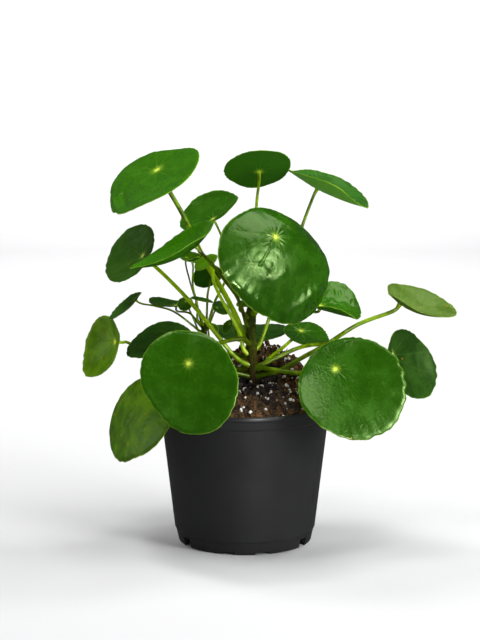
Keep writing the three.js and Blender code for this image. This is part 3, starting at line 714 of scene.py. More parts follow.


# Leaves. The blades' and stalks' places are in millimetres and degrees.
# cup, fold and bend raise the rim, the sides and the tip; lobe and skew pull the outline off a circle.
# tone runs from deep to fresh green; blister and groove are the relief between and along the veins.
# stalk and stalkFoot are the stalk's tone at the blade and at the stem. They are partly painted light: raised
# on stalks that lie in shade, such as left_shaded's.
usualLeaf = {
    "stem": "trunk", "finish": "blade", "wide": 1, "offset": 0.4, "cup": 1, "fold": 1, "bend": 0,
    "lobe": (0, 0), "skew": 0, "teeth": 0.2, "blister": 0.08, "blisterSize": 5, "blisterAt": (0, 0, 1e3),
    "groove": 0.12, "ribs": 0.3, "pucker": 0.12, "wrinkle": 0.05, "hubSize": 1.0, "creases": (),
    "hinges": (),
}
leaves = [
    {"name": "upper_left", "hub": (-75, 2, 322), "radius": 47, "azimuth": -138, "tilt": 32, "spin": 18,
     "offset": 0.31, "cup": 1, "fold": 0, "bend": 2, "lobe": (0.08, 0.05), "skew": 0.06, "root": 180,
     "grip": 2.2, "via": [(-7, -9, 196), (-18, -4, 217), (-34, 3, 243), (-53, 5, 283)],
     "tone": 0.36, "blister": 0.06, "groove": 0.1, "stalk": 0.2,
     "hinges": [(-5, -38, 50, 5, 0.27, 7)],
     "creases": [(34, -30, 62, -9, 2.2, 1.9), (14, -30, 33, -24, 3, 0.8), (30, -22, 56, -2, 2.6, -1.5),
                 (12, -22, 30, -22, 2.6, -0.6), (-4, -34, 28, 2, 5, 0.8), (-30, -20, -8, -6, 4, 0.5)],
     "stalkFoot": 1.1, "hubSize": 1.4},
    {"name": "upper_middle", "hub": (12, 30, 319), "radius": 29, "azimuth": 100, "tilt": 38, "spin": 161,
     "offset": 0.25, "cup": -1, "fold": 1, "bend": -1, "root": 213,
     "grip": 1.4, "via": [(10, 0, 240), (10, 12, 265), (10, 20, 290)],
     "tone": 0.2, "blister": 0.05, "groove": 0.06, "stalk": 0.7, "ribs": 0.1},
    {"name": "upper_right", "hub": (62, 5, 306), "radius": 37.6, "azimuth": -9, "tilt": 25, "spin": 0,
     "offset": 0.23, "cup": 3, "fold": 10, "bend": 1, "skew": 0.03, "root": 171,
     "grip": 1.5, "via": [(21, -8, 196), (39, -4, 243), (50, 0, 277)],
     "tone": 0.38, "blister": 0.08, "groove": 0.06, "stalk": 0.25, "stalkFoot": 0.7, "look": "backlit",
     "creases": [(-30, -14, 0, 0, 3, 0.7), (20, -20, 44, -8, 3, 1.2), (28, 4, 52, 4, 3, 1.0)]},
    {"name": "rear", "hub": (-28, 45, 276), "radius": 29, "azimuth": -150, "tilt": 34, "spin": 247,
     "offset": 0.46, "cup": 4, "fold": 0, "bend": 3, "lobe": (0.02, 0.03), "root": 186, "grip": 1.1,
     "stem": "offset_stem", "via": [(-26, 14, 207), (-17, 22, 225), (-15, 30, 243), (-20, 38, 260)],
     "tone": 0.22, "blister": 0.05, "groove": 0.06, "stalk": 0.75},
    {"name": "left_cupped", "hub": (-41, -48, 262), "radius": 38, "azimuth": -175, "tilt": 34, "spin": -33,
     "offset": 0.47, "cup": 6, "fold": 6, "bend": 4, "lobe": (0, 0.03), "skew": 0.03, "root": 190,
     "grip": 1.5, "via": [(-6, -33, 216), (-17, -37, 232), (-28, -43, 247)],
     "tone": 1, "blister": 0.1, "groove": 0.08, "stalk": 0.15},
    # left_shaded's stalk tone of 0.95 is partly painted light: the stalk lies in the shade of left_cupped
    {"name": "left_shaded", "hub": (-88, 4, 248), "radius": 29, "azimuth": -146, "tilt": 57, "spin": -85,
     "offset": 0.5, "cup": 3, "fold": 2, "bend": 2, "root": 157, "grip": 1.8, "finish": "shaded",
     "via": [(-9, -23, 165), (-20, -25, 179), (-47, -20, 212), (-68, -8, 232), (-79, 0, 241)],
     "tone": 0.6, "blister": 0.3, "groove": 0.08, "stalk": 0.95, "blisterSize": 6, "stalkFoot": 0.5},
    {"name": "centre", "hub": (25, -61, 271), "radius": 49, "azimuth": -57, "tilt": 73, "spin": 4,
     "wide": 1.09, "offset": 0.43, "cup": -11, "fold": 1, "bend": -8, "lobe": (-0.02, 0.04), "skew": 0.09,
     "root": 202, "grip": 2.2, "via": [(12, -28, 216), (16, -38, 240)],
     "tone": 0.12, "blister": 0.17, "blisterSize": 8, "blisterAt": (16, -14, 26), "groove": 0.05,
     "pucker": 0.14, "wrinkle": 0.6, "stalk": 0.4,
     "hinges": [(13, 42, -24, 0, 0.5, 1.8)],
     "creases": [(0, 0, 20, -20, 1.2, -0.4), (20, -20, 15, -38, 1.5, -0.5), (20, -20, 29, -13, 1.5, -0.5),
                 (30, 2, 36, -8, 3, 0.6), (-24, 1, -6, 18, 2.2, 0.4), (-6, 18, 13, 42, 2.2, 0.4),
                 (66, 8, 50, 38, 7, 4.6), (58, 12, 48, 16, 1.6, 0.5), (56, 20, 46, 23, 1.6, 0.5),
                 (52, 28, 42, 30, 1.6, 0.5), (64, -10, 34, -42, 5, 2)], "ribs": 0.2},
    {"name": "right_mid", "hub": (65, 2, 205), "radius": 29, "azimuth": -56, "tilt": 18, "spin": 56,
     "wide": 1.07, "offset": 0.36, "cup": 4, "fold": 7, "bend": -4, "lobe": (-0.09, 0.07), "skew": -0.03,
     "root": 208, "grip": 1.4, "via": [(20, 2, 210), (44, 4, 203)],
     "tone": 0.32, "blister": 0.34, "groove": 0.1, "stalk": 0.5, "blisterSize": 5},
    {"name": "front_left", "hub": (-46, -86, 170), "radius": 42, "azimuth": -101, "tilt": 71, "spin": 1,
     "wide": 0.97, "offset": 0.33, "cup": -2, "fold": 6, "bend": -3, "lobe": (0.01, 0.02), "skew": 0.08,
     "root": 176, "grip": 1.8, "via": [(-1, -28, 181), (-14, -38, 181), (-30, -58, 178)],
     "tone": 0.2, "blister": 0.05, "groove": 0.04, "pucker": 0.05, "wrinkle": 0.03, "ribs": 0.12,
     "stalk": 0.45, "stalkFoot": 0.2},
    {"name": "front_right", "hub": (75, -62, 161), "radius": 45, "azimuth": -88, "tilt": 56, "spin": 39,
     "offset": 0.47, "cup": -2, "fold": 7, "bend": -3, "lobe": (0, 0.02), "skew": -0.02, "root": 154,
     "grip": 1.9, "via": [(26, -28, 154), (46, -38, 153)],
     "tone": 0.16, "blister": 0.05, "blisterSize": 1.8, "groove": 0.05, "pucker": 0.05, "wrinkle": 0.15,
     "teeth": 0.45, "ribs": 0.08, "stalk": 0.45},
    {"name": "far_right", "hub": (133, -12, 209), "radius": 31, "azimuth": -17, "tilt": 29, "spin": 33,
     "offset": 0.5, "cup": 5, "fold": 6, "bend": 4, "lobe": (0.07, -0.02), "skew": 0.08, "root": 147,
     "grip": 1.9, "via": [(30, -24, 153), (47, -24, 163), (69, -22, 175), (97, -18, 192)],
     "tone": 0.15, "blister": 0.12, "groove": 0.08, "stalk": 0.5, "look": "matte"},
    {"name": "right_shaded", "hub": (128, 2, 162), "radius": 33, "azimuth": -29, "tilt": 77, "spin": 39,
     "offset": 0.5, "cup": 5, "fold": 7, "bend": 4, "lobe": (0.07, 0.03), "skew": 0.09, "root": 155,
     "grip": 1.7, "finish": "shaded", "via": [(26, -11, 161), (47, -8, 170), (66, -7, 173), (99, -2, 172)],
     "tone": 0.25, "blister": 0.12, "groove": 0.08, "stalk": 0.6},
    {"name": "far_left", "hub": (-113, 10, 172), "radius": 27, "azimuth": -149, "tilt": 77, "spin": -58,
     "offset": 0.5, "cup": 4, "fold": 5, "bend": 3, "lobe": (0.03, 0.06), "skew": -0.02, "root": 152,
     "grip": 1.5, "finish": "pale",
     "via": [(-22, -9, 152), (-40, -5, 153), (-64, 12, 152), (-88, 30, 159), (-103, 30, 168)],
     "tone": 0.6, "blister": 0.15, "groove": 0.12, "stalk": 0.7, "stalkFoot": 0.35},
    {"name": "low_left", "hub": (-78, -50, 136), "radius": 43, "azimuth": -144, "tilt": 56, "spin": -18,
     "offset": 0.46, "cup": -5, "fold": 2, "bend": -5, "lobe": (-0.02, -0.08), "skew": -0.02, "root": 147,
     "grip": 1.7, "finish": "pale", "via": [(-8, -22, 150), (-38, -36, 150), (-62, -42, 143)],
     "tone": 0.25, "blister": 0.2, "groove": 0.1, "stalk": 0.6, "stalkFoot": 0.3},
    {"name": "left_back", "hub": (-57, 14, 171), "radius": 31, "azimuth": -88, "tilt": 22, "spin": -98,
     "offset": 0.5, "cup": -3, "fold": 5, "bend": -3, "lobe": (-0.01, 0.03), "root": 162, "grip": 1.4,
     "finish": "shaded", "via": [(-11, -9, 165), (-24, -6, 164), (-42, 3, 160)],
     "tone": 0.35, "blister": 0.22, "groove": 0.1, "stalk": 0.5, "stalkFoot": 0.3},
    {"name": "right_back", "hub": (50, 40, 177), "radius": 21, "azimuth": -64, "tilt": 23, "spin": 14,
     "offset": 0.38, "cup": 1, "fold": 1, "bend": 1, "lobe": (0.05, -0.02), "skew": -0.03, "root": 151,
     "grip": 1.5, "via": [(21, -4, 160), (32, 10, 166), (43, 28, 172)],
     "tone": 0.22, "blister": 0.12, "groove": 0.15, "stalk": 0.7},
    {"name": "behind_trunk", "hub": (5, 50, 172), "radius": 34, "azimuth": -90, "tilt": 8, "spin": 180,
     "offset": 0.5, "cup": -2, "fold": 3, "bend": -2, "root": 166, "grip": 1.3, "finish": "shaded",
     "via": [(8, 3, 170), (8, 18, 168), (5, 33, 165), (5, 42, 165)],
     "tone": 0.2, "blister": 0.15, "groove": 0.15, "stalk": 0.4},
    {"name": "plantlet_far", "hub": (-95, 10, 209), "radius": 17, "azimuth": -169, "tilt": 49, "spin": 2,
     "offset": 0.5, "cup": 1, "fold": 4, "bend": 2, "lobe": (0.08, -0.01), "skew": -0.08, "root": 182,
     "grip": 0.9, "stem": "offset_stem", "finish": "shaded",
     "via": [(-62, 3, 200), (-77, 6, 204)],
     "tone": 0.5, "blister": 0.1, "groove": 0.15, "stalk": 0.4},
    {"name": "plantlet_near", "hub": (-60, 18, 203), "radius": 14, "azimuth": -115, "tilt": 8, "spin": -54,
     "offset": 0.5, "cup": 0, "fold": 4, "bend": 2, "lobe": (0.08, -0.08), "skew": -0.08, "root": 187,
     "grip": 0.9, "stem": "offset_stem", "finish": "shaded", "via": [(-48, 12, 197)],
     "tone": 0.5, "blister": 0.1, "groove": 0.15, "stalk": 0.4},
]
youngLeaves = [
    {"name": "young_flat", "hub": (-51, 36, 243), "radius": 11, "azimuth": -60, "tilt": 22, "spin": 60,
     "root": 186, "grip": 0.8, "stem": "offset_stem", "via": [(-42, 19, 204), (-48, 29, 222)],
     "tone": 0.3, "stalk": 0.2},
    {"name": "young_folded", "hub": (-46, 14, 243), "radius": 6, "azimuth": 160, "tilt": 20, "spin": 180,
     "root": 189, "grip": 0.9, "stem": "offset_stem", "via": [(-41, 6, 204), (-45, 6, 222)],
     "tone": 0.2, "stalk": 0.6},
    # young_bright's full tone is partly painted light: it sits in the shade of left_cupped, and its fresh
    # green stands in for light coming through it
    {"name": "young_bright", "hub": (-30, -14, 247), "radius": 11, "azimuth": -140, "tilt": 35, "spin": 0,
     "root": 167, "grip": 1.5, "via": [(-4, -18, 182), (-10, -21, 196), (-19, -20, 212), (-27, -17, 230)],
     "tone": 1, "stalk": 1.0},
    {"name": "young_underside", "hub": (-29, 13, 233), "radius": 13, "azimuth": 100, "tilt": 60, "spin": 35,
     "lobe": (0.06, 0), "root": 183, "grip": 1.0, "stem": "offset_stem",
     "via": [(-33, 12, 198), (-32, 10, 216)],
     "tone": 0.2, "stalk": 0.5},
    {"name": "young_edge_on", "hub": (-41, -9, 212), "radius": 10, "azimuth": 0, "tilt": 12, "spin": 0,
     "root": 189, "grip": 0.8, "stem": "offset_stem", "via": [(-38, -3, 200)],
     "tone": 0.2, "stalk": 0.5},
    {"name": "young_dark", "hub": (-24, -2, 204), "radius": 8, "azimuth": -60, "tilt": 40, "spin": 60,
     "root": 184, "grip": 0.8, "stem": "offset_stem", "via": [(-29, 1, 193)],
     "tone": 0.1, "stalk": 0.5},
    {"name": "young_left", "hub": (-51, 0, 209), "radius": 7, "azimuth": -100, "tilt": 50, "spin": 0,
     "root": 178, "grip": 0.8, "stem": "offset_stem", "via": [(-44, 0, 193)],
     "tone": 0.2, "stalk": 0.5},
    {"name": "young_low", "hub": (-28, 10, 186), "radius": 5, "azimuth": -20, "tilt": 50, "spin": 0,
     "root": 175, "grip": 0.8, "stem": "offset_stem", "via": [(-31, 9, 180)],
     "tone": 0.2, "stalk": 0.6},
    {"name": "young_crown", "hub": (-4, -22, 209), "radius": 6, "azimuth": -90, "tilt": 20, "spin": 90,
     "root": 198, "grip": 1.0, "via": [(0, -20, 203)],
     "tone": 0.2, "stalk": 0.4},
    {"name": "young_trunk", "hub": (-13, 2, 189), "radius": 7, "azimuth": -150, "tilt": 60, "spin": 0,
     "root": 174, "grip": 0.9, "via": [(-6, -4, 179)],
     "tone": 0.3, "stalk": 0.5},
]
leaves = [{**usualLeaf, **leaf, "seed": seed} for seed, leaf in enumerate(leaves)]
youngLeaves = [{**usualLeaf, **leaf, "seed": seed, "ribs": 0.1, "hubSize": 0.35}
               for seed, leaf in enumerate(youngLeaves)]
blade = {
    "thickness": 0.85, "smallThickness": 0.75, "edgeThin": 0.45, "thinReach": 2.5, "scallop": 0.008,
    "roll": 0.5, "rollReach": 3.2, "hubDip": 0.5, "hubReach": 2.2, "grooveWidth": 1.1,
    "veins": 11, "fewVeins": 8, "fewUpTo": 24, "large": {"sides": 216, "upperRings": 48, "lowerRings": 14},
    "young": {"sides": 90, "upperRings": 18, "lowerRings": 8},
    "sheen": "cdee9e", "speck": "a8741c", "underRoughness": 0.55, "underSpecular": 0.1,
}
bladeFinishes = {
    # full grown: taut waxy skin with bright, soft highlights
    "blade": {
        "material": "waxyLeaf", "deep": "163c02", "fresh": "4c9a08", "under": "2c6404", "rib": "5c8a1a",
        "margin": "86ae2a", "hub": "d9ee58", "specular": 0.55, "roughness": (0.2, 0.3), "cloud": 0.06,
        "specks": 0.02},
    # painted shade: a darker copy of the leaf, with little gloss, for blades low on the plant that sit in the
    # shade of others
    "shaded": {
        "material": "paintedShadeLeaf", "deep": "16360a", "fresh": "3c661c", "under": "3a5210", "rib": "56782a",
        "margin": "6f8f30", "hub": "c8dc60", "specular": 0.16, "roughness": (0.34, 0.46), "cloud": 0.15,
        "specks": 0.1},
    # ageing: yellower, clouded and specked
    "pale": {
        "material": "agingLeaf", "deep": "365c02", "fresh": "5f8a06", "under": "55700f", "rib": "6f9014",
        "margin": "8aa826", "hub": "dcea50", "specular": 0.22, "roughness": (0.34, 0.46), "cloud": 0.35,
        "specks": 0.5},
    # young: bright yellow-green, without a blemish
    "young": {
        "material": "youngLeaf", "deep": "1e4a04", "fresh": "74b40e", "under": "2f6412", "rib": "7aa83a",
        "margin": "a4cc3a", "hub": "c0dc50", "specular": 0.4, "roughness": (0.28, 0.38), "cloud": 0.1,
        "specks": 0.0},
    # matte: a greyer, paler green, partly painted sheen standing in for the dull sheen this blade catches,
    # with a broad dull gloss of its own
    "matte": {
        "material": "matteLeaf", "deep": "4a661c", "fresh": "74904a", "under": "4a6a14", "rib": "83a850",
        "margin": "9cb84a", "hub": "dcea50", "specular": 0.5, "roughness": (0.4, 0.5), "cloud": 0.25,
        "specks": 0.3},
    # lit through: a cool green above, and an underside painted much paler, painted light standing in for the
    # light that comes through the blade
    "backlit": {
        "material": "backlitLeaf", "deep": "1a4410", "fresh": "3c7c20", "under": "5c9c2c",
        "rib": "84ac48", "margin": "9cc02a", "hub": "d9ee58", "specular": 0.6, "roughness": (0.22, 0.34),
        "cloud": 0.1, "specks": 0.0},
}


def bladeAxes(leaf):
    # the blade's normal, the way from its hub to its tip, and the third axis
    lean, heading, spin = (math.radians(leaf[key]) for key in ("tilt", "azimuth", "spin"))
    normal = Vector((math.sin(lean) * math.cos(heading), math.sin(lean) * math.sin(heading), math.cos(lean)))
    tip = Vector((math.cos(lean) * math.cos(heading), math.cos(lean) * math.sin(heading), -math.sin(lean)))
    tip = Matrix.Rotation(spin, 3, normal) @ tip
    return np.array(normal), np.array(tip), np.array(normal.cross(tip))


def bladeSurface(leaf, angle, share):
    # the blade's middle surface in its own axes, and the way from the hub to the edge
    seed, offset, radius = leaf["seed"], leaf["offset"], leaf["radius"]
    lobe, skew = leaf["lobe"], leaf["skew"]
    circle = offset * np.cos(angle) + np.sqrt(1 - (offset * np.sin(angle)) ** 2)
    stray = lobe[0] * np.cos(3 * angle) + lobe[1] * np.sin(3 * angle) + skew * np.sin(2 * angle)
    scallop = blade["scallop"] * (np.sin(5 * angle + seed) + 0.7 * np.sin(8 * angle + 2 * seed))
    teeth = leaf["teeth"] / radius * share ** 8 * (
        np.sin(23 * angle + 3 * np.sin(5 * angle + seed)) + 0.5 * np.sin(37 * angle + 2 * np.sin(3 * angle)))
    edge = circle * (1 + stray + scallop + teeth)
    x = share * edge * np.cos(angle)
    y = leaf["wide"] * share * edge * np.sin(angle)
    bowl = leaf["cup"] * ((x - offset) ** 2 + y ** 2 - offset ** 2)
    ripple = 0.018 * radius * np.sin(4 * angle + 3 * seed) * share ** 3
    z = bowl + leaf["fold"] * y ** 2 + leaf["bend"] * x ** 2 + ripple
    return x * radius, y * radius, z, edge * radius


def veinAngles(leaf, sides, random):
    # main veins fan out from the hub, and each lies on a ray of the mesh
    count = blade["veins"] if leaf["radius"] > blade["fewUpTo"] else blade["fewVeins"]
    step = math.tau / sides
    rays = [math.tau * (i + 0.5 + random.uniform(-0.22, 0.22)) / count for i in range(count)]
    return [round(ray / step) * step for ray in rays]


def creaseHeight(leaf, x, y):
    # ridges and valleys along short lines, each (x, y, x, y, width, height)
    total = 0 * x
    for x0, y0, x1, y1, width, height in leaf["creases"]:
        along = ((x - x0) * (x1 - x0) + (y - y0) * (y1 - y0)) / ((x1 - x0) ** 2 + (y1 - y0) ** 2)
        along = np.clip(along, 0, 1)
        away = np.hypot(x - x0 - along * (x1 - x0), y - y0 - along * (y1 - y0))
        total = total + height * np.exp(-(away / width) ** 2)
    # hinges, to the right of which the blade turns down, each (x, y, x, y, slope, width)
    for x0, y0, x1, y1, slope, width in leaf["hinges"]:
        length = math.hypot(x1 - x0, y1 - y0)
        past = ((x - x0) * (y1 - y0) - (y - y0) * (x1 - x0)) / length
        total = total - slope * (np.sqrt(past ** 2 + width ** 2) + past) / 2
    return total


def quilting(leaf):
    # rounded blisters with sharp valleys between them, as a function of the place on the blade
    size = leaf["blisterSize"]
    random = np.random.default_rng(500 + leaf["seed"])
    waves = [(random.uniform(0, math.tau), math.tau / (size * random.uniform(1.5, 3.2)),
              random.uniform(0, math.tau)) for _ in range(24)]
    cx, cy, reach = leaf["blisterAt"]

    def quilt(x, y):
        total = sum(np.sin(pitch * (x * math.cos(way) + y * math.sin(way)) + phase)
                    for way, pitch, phase in waves) / math.sqrt(len(waves) / 2)
        here = 0.3 + 0.7 * np.exp(-((x - cx) ** 2 + (y - cy) ** 2) / reach ** 2)
        return here * (np.sqrt(total ** 2 + 0.03) - 0.7)

    return quilt


def makeBlade(leaf, name, finish, thickness, fineness):
    sides, upperRings, lowerRings = (fineness[key] for key in ("sides", "upperRings", "lowerRings"))
    veins = veinAngles(leaf, sides, np.random.default_rng(100 + leaf["seed"] + int(leaf["radius"])))
    angle = np.arange(sides) / sides * math.tau
    quilt = quilting(leaf)

    def face(rings, lift):
        # one face of the blade, lift being 1 for the upper and -1 for the lower, with the way from
        # each point to the nearest vein and to the rim
        share = ((np.arange(rings) + 1) / rings) ** 0.9
        a, s = np.meshgrid(angle, share)
        x, y, z, edge = bladeSurface(leaf, a, s)
        r = np.hypot(x, y)
        vein = np.full_like(r, 1e3)
        for ray in veins:
            across = r * np.abs(np.sin(a - ray))
            vein = np.minimum(vein, np.where(np.cos(a - ray) > 0, across, r))
        rim = (1 - s) * edge
        groove = leaf["groove"] * np.exp(-(vein / blade["grooveWidth"]) ** 2)
        groove = groove * smooth(0.6, 3, r) * (1 - 0.7 * s ** 2)
        between = 1 - leaf["ribs"] * smooth(2.5, 0.2, vein)
        swell = leaf["blister"] * smooth(1.5, 7, r) * between * quilt(x, y)
        dip = blade["hubDip"] * np.exp(-(r / blade["hubReach"]) ** 2)
        pucker = leaf["pucker"] * np.sin(14 * a + leaf["seed"]) * np.exp(-((r - 6) / 4) ** 2)
        wrinkle = leaf["wrinkle"] * np.sin(44 * a + 4 * np.sin(3 * a + leaf["seed"])) * s ** 6
        wrinkle = wrinkle * smooth(-0.1, 0.7, np.cos(a))
        roll = blade["roll"] * smooth(blade["rollReach"], 0, rim)
        z = z + creaseHeight(leaf, x, y) + swell - groove - dip + pucker + wrinkle - roll
        half = thickness / 2 * (1 - blade["edgeThin"] * smooth(blade["thinReach"], 0, rim))
        return np.stack([x, y, z + lift * half], 2), vein, rim

    upper, veinUp, rimUp = face(upperRings, 1)
    lower, veinLow, rimLow = face(lowerRings, -1)
    centre = -blade["hubDip"] + float(creaseHeight(leaf, np.zeros(1), np.zeros(1))[0])
    points = np.vstack([[(0, 0, centre + thickness / 2)], upper.reshape(-1, 3),
                        lower[::-1].reshape(-1, 3), [(0, 0, centre - thickness / 2)]])
    # at the hub no way is left to a vein, and a long one to the rim
    veinAway, rimAway = (np.concatenate([[hub], up.ravel(), down[::-1].ravel(), [hub]])
                         for hub, up, down in ((0, veinUp, veinLow), (40, rimUp, rimLow)))
    faces = ringFaces(1, upperRings + lowerRings, sides)
    last = len(points) - 1
    base = 1 + (upperRings + lowerRings - 1) * sides
    for i in range(sides):
        j = (i + 1) % sides
        faces.append((0, 1 + i, 1 + j))
        faces.append((last, base + j, base + i))
    normal, tip, side = bladeAxes(leaf)
    placed = np.array(leaf["hub"]) + points @ np.stack([tip, side, normal])
    piece = newObject(name, placed, faces, material=finish)
    addAttribute(piece, "leafPlace", points * (1, 1, 0))
    addAttribute(piece, "veinAway", veinAway)
    addAttribute(piece, "rimAway", rimAway)
    addAttribute(piece, "upperFace", np.arange(len(points)) < 1 + upperRings * sides)
    for key in ("tone", "ribs", "hubSize"):
        addAttribute(piece, key, np.full(len(points), leaf[key]))
    return piece


def bladeMaterial(look):
    # Living leaf under a waxy skin: deep green with a soft gloss that breaks up over the blisters,
    # pale where the veins meet and along the rim, and dull underneath.
    material, tree, shader = newMaterial(look["material"], {
        "IOR": 1.45, "Specular Tint": linearColour(blade["sheen"]),
        "Subsurface Weight": 0.06, "Subsurface Radius": (0.5, 1.0, 0.1), "Subsurface Scale": 0.0006})
    place = addNode(tree, "ShaderNodeTexCoord").outputs["Object"]
    flat = addNode(tree, "ShaderNodeAttribute", attribute_name="leafPlace").outputs["Vector"]
    vein, rim, upper, tone, ribs, hubSize = (
        addNode(tree, "ShaderNodeAttribute", attribute_name=name).outputs["Fac"]
        for name in ("veinAway", "rimAway", "upperFace", "tone", "ribs", "hubSize"))
    length = addNode(tree, "ShaderNodeVectorMath", {0: flat}, operation="LENGTH").outputs["Value"]
    away = addNode(tree, "ShaderNodeMath", {0: length, 1: hubSize}, operation="DIVIDE").outputs[0]
    # clouds of tone about 15 mm across, and a mottle of about 1.5 mm
    cloud, mottle = (addNode(tree, "ShaderNodeTexNoise", {
        "Vector": place, "Scale": scale, "Detail": 3, "Roughness": 0.6}).outputs["Fac"]
        for scale in (65, 650))
    # a net of small veins, about 5 mm to a cell
    net = addNode(tree, "ShaderNodeTexVoronoi", {"Vector": flat, "Scale": 0.2},
                  feature="DISTANCE_TO_EDGE").outputs["Distance"]
    # brown specks of age and knocks, in some of the cells of a net about 8 mm to a cell
    spot = addNode(tree, "ShaderNodeTexVoronoi", {"Vector": flat, "Scale": 0.13}, feature="F1").outputs
    chance = addNode(tree, "ShaderNodeSeparateColor", {0: spot["Color"]}).outputs[0]
    rare = addNode(tree, "ShaderNodeMath", {0: chance, 1: 1 - look["specks"]},
                   operation="GREATER_THAN").outputs[0]
    # soft steps, each with where it starts and ends and what it runs from and to
    soft = {}
    for name, value, start, end, low, high in (
            ("drift", cloud, 0.3, 0.7, -look["cloud"], look["cloud"]),
            ("wear", cloud, 0.35, 0.6, 0.35, 1.0),
            ("wax", cloud, 0.35, 0.65, *look["roughness"]),
            ("fleck", mottle, 0.3, 0.7, 0.9, 1.1),
            ("netLine", net, 0.0, 0.09, 1.0, 0.0),
            ("netSwell", net, 0.0, 0.3, 0.0, 1.0),
            ("vein", vein, 0.1, 0.75, 1.0, 0.0),
            ("veinFade", away, 2.0, 22.0, 1.6, 0.35),
            ("halo", away, 1.2, 6.5, 0.4, 0.0),
            ("star", away, 2.0, 5.5, 0.3, 0.0),
            ("hub", away, 0.8, 2.5, 1.0, 0.0),
            ("rim", rim, 0.15, 0.8, 0.8, 0.0),
            ("speck", spot["Distance"], 0.06, 0.14, 0.85, 0.0),
            ("shine", upper, 0.0, 1.0, blade["underSpecular"], look["specular"])):
        soft[name] = addNode(tree, "ShaderNodeMapRange", {
            "Value": value, "From Min": start, "From Max": end, "To Min": low, "To Max": high},
            interpolation_type="SMOOTHSTEP").outputs[0]
    # how much of a colour shows is the product of these
    share = {}
    for name, first, *others in (
            ("net", ribs, 0.15, soft["netLine"]), ("rib", ribs, soft["veinFade"], soft["vein"]),
            ("underRib", soft["vein"], ribs), ("speck", soft["speck"], rare),
            ("star", soft["vein"], soft["star"]), ("rim", soft["rim"], soft["wear"])):
        share[name] = first
        for other in others:
            share[name] = addNode(tree, "ShaderNodeMath", {0: share[name], 1: other},
                                  operation="MULTIPLY").outputs[0]
    level = addNode(tree, "ShaderNodeMath", {0: tone, 1: soft["drift"]}, operation="ADD",
                    use_clamp=True).outputs[0]
    fleck = addNode(tree, "ShaderNodeCombineXYZ", {axis: soft["fleck"] for axis in range(3)}).outputs[0]
    colours = {key: linearColour(look[key]) for key in ("deep", "fresh", "under", "rib", "margin", "hub")}
    # colours one over another: the upper face's, the underside under them, and what both faces have
    below = addNode(tree, "ShaderNodeMix", {
        0: share["underRib"], 6: colours["under"], 7: colours["rib"]}, data_type="RGBA").outputs[2]
    skin = colours["deep"]
    for amount, under, over, blend in (
            (level, None, colours["fresh"], "MIX"), (1.0, None, fleck, "MULTIPLY"),
            (share["net"], None, colours["rib"], "MIX"), (share["rib"], None, colours["rib"], "MIX"),
            (upper, below, None, "MIX"), (share["speck"], None, linearColour(blade["speck"]), "MIX"),
            (soft["halo"], None, colours["margin"], "MIX"), (share["star"], None, colours["hub"], "MIX"),
            (soft["hub"], None, colours["hub"], "MIX"), (share["rim"], None, colours["margin"], "MIX")):
        skin = addNode(tree, "ShaderNodeMix", {
            0: amount, 6: skin if under is None else under, 7: skin if over is None else over},
            data_type="RGBA", blend_type=blend).outputs[2]
    tree.links.new(skin, shader.inputs["Base Color"])
    rough = addNode(tree, "ShaderNodeMix", {0: upper, 2: blade["underRoughness"], 3: soft["wax"]},
                    data_type="FLOAT").outputs[0]
    tree.links.new(rough, shader.inputs["Roughness"])
    tree.links.new(soft["shine"], shader.inputs["Specular IOR Level"])
    # cells swell about 0.05 mm between the small veins
    height = addNode(tree, "ShaderNodeMath", {0: mottle, 1: 0.8, 2: soft["netSwell"]},
                     operation="MULTIPLY_ADD").outputs[0]
    relief = addNode(tree, "ShaderNodeBump", {"Height": height, "Strength": 0.5, "Distance": 0.0001})
    tree.links.new(relief.outputs[0], shader.inputs["Normal"])
    return material


# Stalks: fleshy, a little swollen at both ends.
stalk = {
    "sides": 20, "stepLength": 1.6, "footSwell": 0.4, "footReach": 5, "neckSwell": 0.45, "neckReach": 2.2,
    "taper": (1.1, -0.22), "dark": "3c4202", "olive": "628406", "bright": "c4ee12", "neck": "c0e234",
    "sheen": "dcecb0", "roughness": 0.27, "pathPoints": 90, "neckClear": 6,
}


